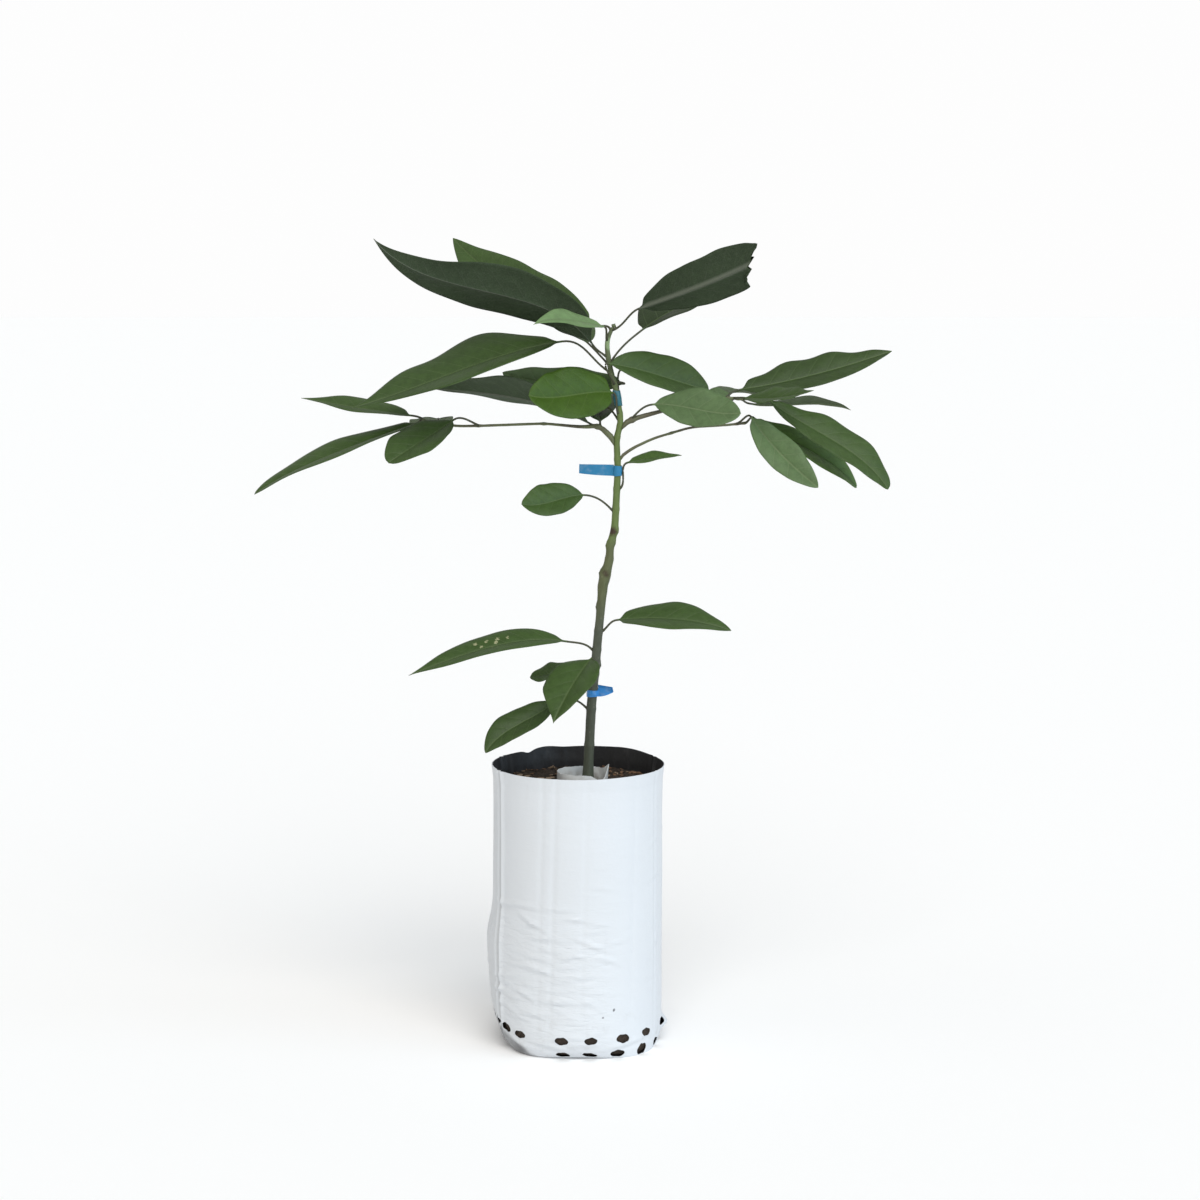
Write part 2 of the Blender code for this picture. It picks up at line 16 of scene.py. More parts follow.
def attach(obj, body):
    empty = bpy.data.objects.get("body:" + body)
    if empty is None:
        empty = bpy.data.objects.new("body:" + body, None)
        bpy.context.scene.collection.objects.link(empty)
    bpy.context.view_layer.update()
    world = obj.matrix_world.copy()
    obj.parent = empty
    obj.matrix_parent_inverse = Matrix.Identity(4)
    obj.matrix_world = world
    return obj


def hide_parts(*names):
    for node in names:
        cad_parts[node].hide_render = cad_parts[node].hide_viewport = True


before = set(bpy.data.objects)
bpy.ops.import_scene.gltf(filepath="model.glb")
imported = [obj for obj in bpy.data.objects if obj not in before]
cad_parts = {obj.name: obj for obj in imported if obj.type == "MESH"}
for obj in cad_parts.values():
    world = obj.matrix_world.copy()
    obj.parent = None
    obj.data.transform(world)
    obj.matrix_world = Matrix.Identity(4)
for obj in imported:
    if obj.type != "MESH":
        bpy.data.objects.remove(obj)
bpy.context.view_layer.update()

# --- studio -------------------------------------------------------------------------------
# A wide floor of matt white board, lit by a big soft lamp high in front, by a warm and a cool
# one at the sides and by pale walls all round. The camera stands 2.5 m off, level with the
# crown, and looks down a little.

scene = bpy.context.scene
scene.view_settings.view_transform = "Standard"

lens = bpy.data.cameras.new("camera")
lens.lens = 76.2
camera = bpy.data.objects.new("camera", lens)
camera.location = (0.022, -2.5, 0.772)
camera.rotation_euler = (math.radians(82.61), 0, 0)
scene.collection.objects.link(camera)
scene.camera = camera

board = bmesh.new()
bmesh.ops.create_grid(board, x_segments=1, y_segments=1, size=40)
floor_mesh = bpy.data.meshes.new("floor")
board.to_mesh(floor_mesh)
board.free()
floor_paint = bpy.data.materials.new("white_board")
floor_paint.use_nodes = True
floor_shader = floor_paint.node_tree.nodes["Principled BSDF"]
floor_shader.inputs["Base Color"].default_value = (0.98, 0.98, 0.98, 1)
floor_shader.inputs["Roughness"].default_value = 0.9
floor_shader.inputs["Specular IOR Level"].default_value = 0.0
floor_mesh.materials.append(floor_paint)
floor = bpy.data.objects.new("floor", floor_mesh)
scene.collection.objects.link(floor)

WALL_LIGHT = 0.5
walls = bpy.data.worlds.new("pale_walls")
walls.use_nodes = True
scene.world = walls
wall_nodes = walls.node_tree.nodes
wall_links = walls.node_tree.links
seen = wall_nodes.new("ShaderNodeLightPath")
shown = wall_nodes.new("ShaderNodeMapRange")
shown.inputs["To Min"].default_value = WALL_LIGHT
shown.inputs["To Max"].default_value = 0.985
wall_links.new(seen.outputs["Is Camera Ray"], shown.inputs["Value"])
wall_links.new(shown.outputs["Result"], wall_nodes["Background"].inputs["Strength"])
wall_nodes["Background"].inputs["Color"].default_value = (1, 1, 1, 1)


def soft_lamp(name, towards_lamp, strength, colour):
    """A lamp so wide that it throws no hard shadow."""
    lamp = bpy.data.lights.new(name, "SUN")
    lamp.energy = strength
    lamp.angle = math.radians(50)
    lamp.color = colour
    stand = bpy.data.objects.new(name, lamp)
    stand.rotation_euler = Vector(towards_lamp).to_track_quat("Z", "Y").to_euler()
    scene.collection.objects.link(stand)


soft_lamp("big_soft_lamp", (0.2, -0.95, 0.9), 2.0, (1.0, 0.985, 0.95))
soft_lamp("cool_side_lamp", (1.0, -0.5, 0.3), 1.0, (0.55, 0.78, 1.0))
soft_lamp("warm_side_lamp", (-1.0, -0.3, 0.2), 0.25, (1.0, 0.93, 0.82))


# --- grow bag -----------------------------------------------------------------------------
# A bag of polythene film, white outside and black inside, blown as a tube and gusseted down
# its two sides, with its foot folded under and welded. The nursery filled it, which left it
# creased, and punched two rows of drain holes round the foot.

MM = 0.001
RIM_HEIGHT = 283
RIM_RADIUS = 86
WALL_RADIUS = 84.5
FILM = 0.6
FLARE_HEIGHT = 14
FOOT_RADIUS = {"left": 62, "front": 65, "right": 76, "back": 65}
FOOT_CORNERS = 13
CORNER_HEIGHT = {"left": 48, "front": 28, "right": 20, "back": 28}
BAG_SIDES = 264
FOOT_LEVELS = 34
WALL_LEVELS = 104
FOOT_TOP = 50
RIM_WAVES_FROM = 200

GUSSET_BULGE = 7
GUSSET_HEIGHT = 108
GUSSET_FADES_UP = 26
GUSSET_FADES_DOWN = 66
FOLD_LINES = ((-154, 2.8), (154, 2.4), (180, 0.8), (-26, 0.5), (26, 1.2))  # heading, depth
FLAT_LINES = ((-116, 0.6), (-107, 0.8), (-86, 0.4), (-50, 0.5), (62, 0.7), (98, 0.7))
EAR_LENGTH = 6
EAR_HEIGHT = 18

HOLE_WIDTH = 14.5
HOLE_TALL = 8.5
UPPER_HOLES_HEIGHT = 21
HOLES_CLIMB = 8
LOWER_HOLES_HEIGHT = 5
UPPER_HOLES = (-173, -160, -147, -133, -101, -81, -58, -36, -8, *range(14, 180, 20))
LOWER_HOLES = range(-101, 219, 20)


def towards(heading, rise):
    heading, rise = math.radians(heading), math.radians(rise)
    flat = math.cos(rise)
    return Vector((flat * math.cos(heading), flat * math.sin(heading), math.sin(rise)))


def hump(value, middle, spread):
    """A smooth rise to 1 at the middle, gone at about twice the spread."""
    return math.exp(-(((value - middle) / spread) ** 2))


def ease(share):
    """0 to 1, setting off and arriving gently."""
    share = min(max(share, 0), 1)
    return share * share * (3 - 2 * share)


def turn_between(angle, other):
    return (angle - other + 180) % 360 - 180


def by_side(sizes, heading):
    """A size that goes smoothly round the bag between those of its four sides."""
    x, y = math.cos(math.radians(heading)), math.sin(math.radians(heading))
    across = sizes["right" if x > 0 else "left"]
    return across * x * x + sizes["back" if y > 0 else "front"] * y * y


def bag_radius(heading, height):
    corner, foot = by_side(CORNER_HEIGHT, heading), by_side(FOOT_RADIUS, heading)
    foot += FOOT_CORNERS * math.sin(math.radians(2 * heading)) ** 2
    radius = WALL_RADIUS
    if height < corner:
        radius = foot + (WALL_RADIUS - foot) * math.sqrt(1 - (1 - height / corner) ** 2)
    radius += max(0, 1 - (RIM_HEIGHT - height) / FLARE_HEIGHT) * (RIM_RADIUS - WALL_RADIUS)
    fades = GUSSET_FADES_UP if height > GUSSET_HEIGHT else GUSSET_FADES_DOWN
    side = hump(turn_between(heading, 180), 0, 34)
    return radius + GUSSET_BULGE * hump(height, GUSSET_HEIGHT, fades) * side


def creases():
    """Short soft creases in the slack film: heading, height, half length, slant, depth."""
    dice = random.Random(11)
    found = [
        (-112, 12, 26, -9, 1.6), (-55, 11, 42, 8, 1.6), (-138, 10, 22, -12, 2.6),
        (-163, 121, 15, 48, 2.0), (-70, 98, 22, -20, 1.4), (-118, 88, 30, -12, 1.8),
        (-22, 108, 12, 30, 1.2),
    ]  # fmt: skip
    for _ in range(44):
        found.append((dice.uniform(-152, -76), dice.uniform(34, 150), dice.uniform(10, 30),
                      dice.uniform(-24, 8), dice.uniform(0.7, 1.9)))  # fmt: skip
    for _ in range(40):
        found.append((dice.uniform(-85, 200), dice.uniform(25, 230), dice.uniform(9, 30),
                      dice.uniform(-25, 25), dice.uniform(0.2, 0.9)))  # fmt: skip
    return found


CREASES = creases()


def crease_depth(heading, height):
    """How far the creases that run near a point draw the film in there."""
    depth = 0
    for middle, level, half, slant, deep in CREASES:
        rise = height - level
        if abs(rise) > 30:
            continue
        run = turn_between(heading, middle) * 1.47
        if abs(run) > 2 * half:
            continue
        cos, sin = math.cos(math.radians(slant)), math.sin(math.radians(slant))
        along, across = run * cos + rise * sin, rise * cos - run * sin
        across += 0.0012 * along * along
        if abs(across) < 8:
            ridge = hump(across, 4.2, 2.6)
            depth += deep * hump(along, 0, half * 0.6) * (0.6 * hump(across, 0, 2.1) - 0.7 * ridge)
    return depth


def film_relief(heading, height):
    """How far the filled film stands out of its plain form at a point."""
    calm = ease(height / 18)
    relief = 0
    for line, depth in FOLD_LINES:
        turn = abs(turn_between(heading, line))
        if turn < 9:
            relief += depth * calm * (0.7 * hump(turn, 2.6, 1.6) - hump(turn, 0, 1.1))
    for line, depth in FLAT_LINES:
        turn = abs(turn_between(heading, line + 0.02 * (height - 140)))
        if turn < 9:
            relief -= depth * calm * hump(turn, 0, 1.6) * ease(height / 60)
    relief -= crease_depth(heading, height)
    point = towards(heading, 0) * 1.6 + Vector((0, 0, height / 70))
    relief += 0.8 * calm * noise.noise(point)
    ear = hump(height, EAR_HEIGHT, 6) * hump(turn_between(heading, 0), 0, 6)
    relief = relief if relief > 0 else math.tanh(relief)  # the mix holds it from within
    return relief + EAR_LENGTH * ear


def rim_height(heading):
    """The rim stands a little high at the back, and is nicked where its fold ends."""
    back = hump(turn_between(heading, 113), 0, 10) + hump(turn_between(heading, 56), 0, 22)
    nick = hump(turn_between(heading, 127), 0, 4)
    lift = 2.4 * back + hump(turn_between(heading, 88), 0, 14) - 2.5 * nick
    return RIM_HEIGHT + lift + 0.5 * noise.noise(towards(heading, 0) * 1.5)


def new_piece(name, bm, *materials):
    """The bmesh, which is in millimetres, as an object with these materials."""
    bmesh.ops.scale(bm, vec=(MM, MM, MM), verts=bm.verts)
    mesh = bpy.data.meshes.new(name)
    bm.to_mesh(mesh)
    bm.free()
    for material in materials:
        mesh.materials.append(material)
    mesh.shade_smooth()
    piece = bpy.data.objects.new(name, mesh)
    scene.collection.objects.link(piece)
    return piece


def settle(piece, slot, *solids):
    """Sets a finished piece on the plant, in place of the plain solids that it stands for."""
    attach(piece, "root")
    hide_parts(*solids)


class Wire:
    """A socket of a finish. Arithmetic on it adds the Math nodes that work it out."""

    def __init__(self, finish, socket):
        self.finish = finish
        self.socket = socket

    def math(self, operation, *values):
        return self.finish.node("Math", {"operation": operation}, dict(enumerate(values)))

    def __add__(self, other):
        return self.math("ADD", self, other)

    def __sub__(self, other):
        return self.math("SUBTRACT", self, other)

    def __rsub__(self, other):
        return self.math("SUBTRACT", other, self)

    def __mul__(self, other):
        return self.math("MULTIPLY", self, other)

    def __truediv__(self, other):
        return self.math("DIVIDE", self, other)

    def __gt__(self, other):
        return self.math("GREATER_THAN", self, other)

    def __abs__(self):
        return self.math("ABSOLUTE", self)

    __radd__ = __add__
    __rmul__ = __mul__


class Finish:
    """A material: values on its shader's sockets, and nodes for what varies over a surface."""

    def __init__(self, name, values):
        self.material = bpy.data.materials.new(name)
        self.material.use_nodes = True
        self.tree = self.material.node_tree
        self.shader = self.tree.nodes["Principled BSDF"]
        self.fill(self.shader, values)

    def fill(self, node, sockets):
        for socket, value in sockets.items():
            if isinstance(value, Wire):
                self.tree.links.new(value.socket, node.inputs[socket])
            else:
                node.inputs[socket].default_value = value

    def node(self, kind, settings, sockets, out=0):
        """A node of this kind, with its settings made first, as a wire from one output."""
        made = self.tree.nodes.new("ShaderNode" + kind)
        for setting, value in settings.items():
            setattr(made, setting, value)
        self.fill(made, sockets)
        return Wire(self, made.outputs[out])

    def place(self):
        return self.node("TexCoord", {}, {}, "Object")

    def part(self, axis, vector=None):
        """One coordinate of a vector, or of the place on the plant."""
        return self.node("SeparateXYZ", {}, {0: vector or self.place()}, axis)

    def height(self):
        return self.part("Z")

    def from_spot(self, spot):
        """The distance in metres from a spot."""
        return self.node("VectorMath", {"operation": "DISTANCE"}, {0: self.place(), 1: spot}, 1)

    def told(self, name):
        """A number that the mesh holds at each point."""
        return self.node("Attribute", {"attribute_name": name}, {}, "Fac")

    def done(self, sockets):
        """Fills the shader's last sockets, and gives the material."""
        self.fill(self.shader, sockets)
        return self.material

    def stretched(self, place, scale):
        return self.node("Mapping", {}, {"Vector": place, "Scale": scale})

    def noise(self, scale, detail=3, stretch=(1, 1, 1), rough=0.5, place=None):
        """Soft patches from 0 to 1, so many to the metre."""
        place = self.stretched(place or self.place(), stretch)
        sockets = {"Vector": place, "Scale": scale, "Detail": detail, "Roughness": rough}
        return self.node("TexNoise", {}, sockets)

    def band(self, value, low, high):
        """0 below low and 1 above high, with a smooth step between them."""
        sockets = {"Value": value, "From Min": low, "From Max": high}
        if low > high:
            sockets = {"Value": value, "From Min": high, "From Max": low, "To Min": 1, "To Max": 0}
        return self.node("MapRange", {"interpolation_type": "SMOOTHSTEP"}, sockets)

    def blend(self, share, first, second, how="MIX"):
        """From the first colour to the second by the share."""
        pair = [value if isinstance(value, Wire) else (*value, 1) for value in (first, second)]
        settings = {"data_type": "RGBA", "blend_type": how}
        return self.node("Mix", settings, {0: share, 6: pair[0], 7: pair[1]}, 2)

    def bump(self, height, depth, below=None):
        """A bump of so many millimetres, on top of another."""
        sockets = {"Height": height, "Distance": depth * MM, "Strength": 1}
        if below:
            sockets["Normal"] = below
        return self.node("Bump", {}, sockets)


def white_film():
    """Satin white film: faint tints, painted shade over the front of the left side and along its
    fold there, wrinkles where the wall has slumped, fine crazing, painted shade along the
    folded-under foot at the lower left, and dust, scuffs and two specks low down."""
    film = Finish("white_film", {"Specular IOR Level": 0.45})
    tint = film.blend(film.noise(7, 2), (0.60, 0.625, 0.65), (0.64, 0.67, 0.705))
    low = film.band(film.height(), 0.075, 0.0)
    dust = film.band(film.noise(60, 6, rough=0.65), 0.52, 0.8) * low * 0.5
    streaks = film.band(film.noise(90, 4, (1, 1, 0.12)), 0.62, 0.85) * 0.16
    colour = film.blend(dust + streaks, tint, (0.32, 0.31, 0.29))
    for spot, size in (((0.0358, -0.0766, 0.0514), 0.0016), ((0.0249, -0.0807, 0.0446), 0.0011)):
        ragged = film.from_spot(spot) + film.noise(500, 2) * 0.002
        colour = film.blend(film.band(ragged, size + 0.0014, size), colour, (0.12, 0.12, 0.13))
    left = film.part("X")
    turn = left.math("ARCTAN2", film.part("Y"), left)
    # Painted shade: the front of the left side is greyed, as the side turned from the lamps, and a grey
    # line is painted along the fold on the left.
    side = film.band(abs(turn), 2.66, 2.70) * 0.2 * film.band(turn, 0.0, -0.01)
    fold = film.band(abs(turn + 2.685 + film.noise(20, 2) * 0.02), 0.028, 0.006) * 0.4
    # Painted shade: a dark, patchy band along the folded-under foot at the lower left.
    under = (left + 0.044) * 0.6 + film.height() + film.noise(50, 4) * 0.008
    under = film.band(under, 0.010, 0.003)
    colour = film.blend(side + fold, colour, (0.42, 0.425, 0.43))
    colour = film.blend(under * (film.noise(45, 4) * 0.8 + 0.4), colour, (0.13, 0.13, 0.135))
    slack = film.noise(13, 2, (1, 1, 0.6), 0.45)
    crazing = film.noise(60, 5, (1, 1, 1.5), 0.6) * 0.25 + film.noise(240, 3) * 0.05
    wrinkles = abs(film.noise(24, 4, (1, 1, 4), 0.5) - 0.5) * 2.4
    slumped = film.band(film.height(), 0.170, 0.115) * film.band(abs(turn + 1.95), 0.95, 0.55)
    normal = film.bump(slack + crazing + wrinkles * (slumped * 0.85 + 0.15), 1.5)
    rough = film.noise(18, 3) * 0.3 + 0.27
    return film.done({"Base Color": colour, "Roughness": rough, "Normal": normal})


def black_film():
    """The inner layer of the film, a soft black with rubbed streaks."""
    film = Finish("black_film", {"Specular IOR Level": 0.4})
    rubbed = film.band(film.noise(70, 5, (1, 1, 0.4)), 0.5, 0.8)
    colour = film.blend(rubbed, (0.016, 0.016, 0.017), (0.045, 0.045, 0.047))
    normal = film.bump(film.noise(60, 5, (1, 1, 0.5), 0.6), 1.2)
    rough = film.noise(40, 3) * 0.2 + 0.38
    return film.done({"Base Color": colour, "Roughness": rough, "Normal": normal})


def drain_hole(bm, heading, height, slope, dice):
    """One oval punch, pointing out and down by the slope, through the film only."""
    middle = towards(heading, 0) * bag_radius(heading, height) + Vector((0, 0, height))
    out = towards(heading, -slope)
    level = Vector((0, 0, 1)).cross(out).normalized()
    turn = Matrix((level, out.cross(level), out)).transposed().to_4x4()
    turn = turn @ Matrix.Rotation(math.radians(dice.uniform(-14, 14)), 4, "Z")
    wide, tall = HOLE_WIDTH / 2 * dice.uniform(0.9, 1.05), HOLE_TALL / 2 * dice.uniform(0.9, 1.06)
    oval = Matrix.Diagonal((wide, tall, 1, 1))
    punch = bmesh.ops.create_cone(
        bm, cap_ends=True, segments=22, radius1=1, radius2=1, depth=16,
        matrix=Matrix.Translation(middle) @ turn @ oval,
    )  # fmt: skip
    lean = out.cross(level)
    for vert in punch["verts"]:
        side = (vert.co - middle).dot(level)
        vert.co += lean * 0.35 * math.sin(side * 0.9 + heading)


def make_grow_bag():
    white, black = white_film(), black_film()
    bag = bmesh.new()
    bmesh.ops.create_cone(
        bag, cap_ends=False, segments=BAG_SIDES, radius1=1, radius2=1, depth=1,
        matrix=Matrix.Translation((0, 0, 0.5)),
    )  # fmt: skip
    upright = [edge for edge in bag.edges if abs(edge.verts[0].co.z - edge.verts[1].co.z) > 0.5]
    bmesh.ops.subdivide_edges(bag, edges=upright, cuts=FOOT_LEVELS + WALL_LEVELS - 1)
    foot_share = FOOT_LEVELS / (FOOT_LEVELS + WALL_LEVELS)
    for vert in bag.verts:
        heading = math.degrees(math.atan2(vert.co.y, vert.co.x))
        if vert.co.z < foot_share:
            height = FOOT_TOP * (vert.co.z / foot_share) ** 1.5
        else:
            wall_share = (vert.co.z - foot_share) / (1 - foot_share)
            height = FOOT_TOP + (RIM_HEIGHT - FOOT_TOP) * wall_share
        reach = bag_radius(heading, height) + film_relief(heading, height)
        up = height
        if height > RIM_WAVES_FROM:
            share = (height - RIM_WAVES_FROM) / (RIM_HEIGHT - RIM_WAVES_FROM)
            up += (rim_height(heading) - RIM_HEIGHT) * share
        vert.co = towards(heading, 0) * reach + Vector((0, 0, up))
    edge = [edge for edge in bag.edges if edge.is_boundary and edge.verts[0].co.z < 10]
    for share in (0.96, 0.8, 0.55, 0.3, 0.1):
        grown = bmesh.ops.extrude_edge_only(bag, edges=edge)["geom"]
        ring = [item for item in grown if isinstance(item, bmesh.types.BMVert)]
        edge = [item for item in grown if isinstance(item, bmesh.types.BMEdge)]
        shrink = share / (1 if share == 0.96 else before)
        bmesh.ops.scale(bag, vec=(shrink, shrink, 1), verts=ring)
        before = share
    bmesh.ops.edgeloop_fill(bag, edges=edge)
    bmesh.ops.recalc_face_normals(bag, faces=bag.faces)
    inner = bmesh.ops.solidify(bag, geom=bag.faces[:], thickness=FILM)["geom"]
    for item in inner:
        if isinstance(item, bmesh.types.BMFace):
            item.material_index = 1
    whole = new_piece("bag_before_punching", bag, white, black)

    dice = random.Random(5)
    holes = bmesh.new()
    for heading in UPPER_HOLES:
        climb = HOLES_CLIMB * ease((-120 - heading) / 55)
        drain_hole(holes, heading, UPPER_HOLES_HEIGHT + climb, 15, dice)
    for heading in LOWER_HOLES:
        drain_hole(holes, heading, LOWER_HOLES_HEIGHT, 45, dice)
    punch = new_piece("drain_hole_punch", holes, white)
    cut = whole.modifiers.new("drain_holes", "BOOLEAN")
    cut.operation = "DIFFERENCE"
    cut.object = punch
    cut.use_self = True
    graph = bpy.context.evaluated_depsgraph_get()
    mesh = bpy.data.meshes.new_from_object(whole.evaluated_get(graph))
    bpy.data.objects.remove(whole)
    bpy.data.objects.remove(punch)
    bag = bpy.data.objects.new("grow_bag_film", mesh)
    scene.collection.objects.link(bag)
    mesh.shade_smooth()
    mesh.set_sharp_from_angle(angle=math.radians(40))
    settle(bag, "bag_film", "grow_bag")


make_grow_bag()


# --- potting mix --------------------------------------------------------------------------
# The root ball: dark composted bark and fibre, firmed into the bag by hand to 20 mm below
# the rim. Coarse brown bark chips lie loose on its top.

SOIL_HEIGHT = 262
SOIL_MOUND = 3
MIX_GAP = 0.8
MIX_SIDES = 120
CHIP_COUNT = 560
CHIPS_REACH = 82


def loft(bm, sections, hollow=False):
    """A closed form through sections, rings of as many points each: one face is extruded from
    each ring to the next. A hollow one comes back to its first ring and is welded to it.
    Returns each ring's vertices."""
    end = bm.faces.new([bm.verts.new(point) for point in sections[0]])
    rings = [list(end.verts)]
    for section in [*sections[1:], *sections[:hollow]]:
        end = bmesh.ops.extrude_discrete_faces(bm, faces=[end])["faces"][0]
        for vert, point in zip(end.verts, section):
            vert.co = point
        rings.append(list(end.verts))
    if hollow:
        bmesh.ops.delete(bm, geom=[end], context="FACES_ONLY")
        bmesh.ops.remove_doubles(bm, verts=bm.verts, dist=0.001)
    else:
        bmesh.ops.holes_fill(bm, edges=bm.edges)
    return rings


def mix_top(share, heading):
    """The height of the mix, at a share of the way out from its middle."""
    lumps = noise.fractal(towards(heading, 0) * share * 9, 0.8, 2.2, 4)
    mound = SOIL_MOUND * hump(share, 0.9, 0.2)
    return SOIL_HEIGHT - 0.8 + mound - 2 * max(0, share - 0.93) / 0.07 + 1.1 * lumps


def potting_mix():
    """Composted bark: dark crumbs, lighter fibre and damp patches."""
    mix = Finish("potting_mix", {"Specular IOR Level": 0.2})
    crumbs = mix.node("TexVoronoi", {}, {"Vector": mix.place(), "Scale": 420}, "Color")
    grey = mix.node("RGBToBW", {}, {0: crumbs})
    warm = mix.blend(grey, (0.016, 0.012, 0.010), (0.085, 0.062, 0.046))
    colour = mix.blend(mix.band(mix.noise(35, 4), 0.35, 0.7), warm, (0.035, 0.026, 0.020))
    grain = mix.noise(700, 5, rough=0.7) + grey
    rough = mix.noise(200, 2) * 0.3 + 0.65
    return mix.done({"Base Color": colour, "Normal": mix.bump(grain, 1.5), "Roughness": rough})


def chip_bark(name, dark, light):
    """Chipped bark with a fibrous grain."""
    chip = Finish(name, {"Specular IOR Level": 0.2, "Roughness": 0.85})
    grain = chip.noise(500, 4, (1, 0.2, 1), 0.65)
    return chip.done({"Base Color": chip.blend(grain, dark, light), "Normal": chip.bump(grain, 0.6)})


def make_root_ball():
    inset = FILM + MIX_GAP
    rings = []
    for height in (0, 3, 7, 12, 18, 25, 34, 48, 70, 105, 150, 200, 240, 257):
        ring = []
        for side in range(MIX_SIDES):
            heading = 360 * side / MIX_SIDES
            reach = bag_radius(heading, height) - inset - 2 * hump(height, 0, 4)
            ring.append(towards(heading, 0) * reach + Vector((0, 0, height + inset)))
        rings.append(ring)
    for step in range(29):
        share = 0.995 * (1 - step / 29)
        ring = []
        for side in range(MIX_SIDES):
            heading = 360 * side / MIX_SIDES
            reach = share * (bag_radius(heading, 258) - inset)
            ring.append(towards(heading, 0) * reach + Vector((0, 0, mix_top(share, heading))))
        rings.append(ring)
    ball = bmesh.new()
    loft(ball, rings)
    bmesh.ops.recalc_face_normals(ball, faces=ball.faces)
    settle(new_piece("potting_mix_ball", ball, potting_mix()), "potting_mix", "root_ball")


def make_bark_chips():
    """Some hundreds of loose chips, each a flattened, knocked-about lump of 20 faces, clear of
    the stem and the sleeve."""
    dice = random.Random(23)
    chips = bmesh.new()
    for _ in range(CHIP_COUNT):
        heading, share = dice.uniform(0, 360), 0.955 * math.sqrt(dice.random())
        spot = towards(heading, 0) * share * 83
        from_stem = (spot - Vector((9.3, 0, 0))).length
        from_sleeve = abs((spot - Vector((4, 0, 0))).length - 25)
        long = dice.uniform(3, 8) if dice.random() < 0.75 else dice.uniform(8, 14)
        if from_stem < 9 + long / 2 or from_sleeve < 2 + long / 2:
            continue
        if spot.length + long / 2 > CHIPS_REACH:
            continue
        spot.z = mix_top(share, heading) + dice.uniform(0.1, 1.1)
        size = Vector((long, long * dice.uniform(0.3, 0.6), long * dice.uniform(0.14, 0.3))) / 2
        turn = Matrix.Rotation(dice.uniform(0, math.tau), 4, "Z")
        turn = turn @ Matrix.Rotation(math.radians(dice.uniform(-22, 22)), 4, "Y")
        made = bmesh.ops.create_icosphere(
            chips, subdivisions=1, radius=1, matrix=Matrix.Translation(spot) @ turn
            @ Matrix.Diagonal((*size, 1)),
        )  # fmt: skip
        which = dice.choice((0, 0, 1, 2))
        for vert in made["verts"]:
            vert.co += (vert.co - spot) * dice.uniform(-0.3, 0.25)
            for face in vert.link_faces:
                face.material_index = which
    bark = [
        chip_bark("dark_bark_chip", (0.02, 0.014, 0.010), (0.09, 0.062, 0.043)),
        chip_bark("brown_bark_chip", (0.06, 0.034, 0.020), (0.26, 0.155, 0.092)),
        chip_bark("pale_bark_chip", (0.15, 0.105, 0.070), (0.40, 0.30, 0.21)),
    ]
    piece = new_piece("bark_chips", chips, *bark)
    piece.data.shade_flat()
    settle(piece, "potting_mix")


make_root_ball()
make_bark_chips()


# --- inner sleeve -------------------------------------------------------------------------
# What is left of the white film sleeve that the rootstock grew in: a low curl of film that
# stands on the mix round the stem, torn up to a corner at the right and cut low in front.

CLEAR = 0.3
SLEEVE_RADIUS = 25
SLEEVE_FILM = 0.5
SLEEVE_HEIGHT = 13
SLEEVE_CENTRE = (4, 0)
SLEEVE_SIDES = 144


def sleeve_point(heading, standing, inset):
    corner = hump(turn_between(heading, 8), 0, 16)
    cut = hump(turn_between(heading, -40), 0, 22)
    ragged = 0.5 * noise.noise(towards(heading, 0) * 6) + 0.25 * noise.noise(towards(heading, 0) * 19)
    film_height = SLEEVE_HEIGHT + 6 * corner - 7 * cut + ragged
    height = SOIL_HEIGHT - 1.5 + CLEAR + standing * (film_height + 1.5)
    buckle = 0.7 * noise.noise(towards(heading, 0) * 2.5 + Vector((0, 0, standing * 1.4)))
    radius = SLEEVE_RADIUS - inset + standing * 2.5 * corner + buckle
    return Vector((*SLEEVE_CENTRE, height)) + towards(heading, 0) * radius


def make_inner_sleeve():
    film = Finish("sleeve_film", {"Specular IOR Level": 0.4, "Roughness": 0.42})
    stain = film.band(film.height(), 0.275, 0.262) * film.band(film.noise(150, 4), 0.3, 0.7)
    colour = film.blend(stain, (0.66, 0.68, 0.68), (0.34, 0.32, 0.29))
    film.done({"Base Color": colour, "Normal": film.bump(film.noise(120, 4), 0.7)})
    outside = [(0, step / 10) for step in range(11)]
    inside = [(SLEEVE_FILM, 1 - step / 10) for step in range(11)]
    rings = []
    for inset, standing in [*outside, *inside]:
        turns = [360 * side / SLEEVE_SIDES for side in range(SLEEVE_SIDES)]
        rings.append([sleeve_point(heading, standing, inset) for heading in turns])
    sleeve = bmesh.new()
    loft(sleeve, rings, hollow=True)
    bmesh.ops.recalc_face_normals(sleeve, faces=sleeve.faces)
    piece = new_piece("sleeve_curl", sleeve, film.material)
    piece.data.set_sharp_from_angle(angle=math.radians(50))
    settle(piece, "sleeve_film", "inner_sleeve")


make_inner_sleeve()


# --- stem ---------------------------------------------------------------------------------
# One living stem: a rootstock with grey-green bark, the knuckle where the scion was grafted
# on, and the scion's smooth green shoot up to its bud. Old leaf and bud scars stand out of it.

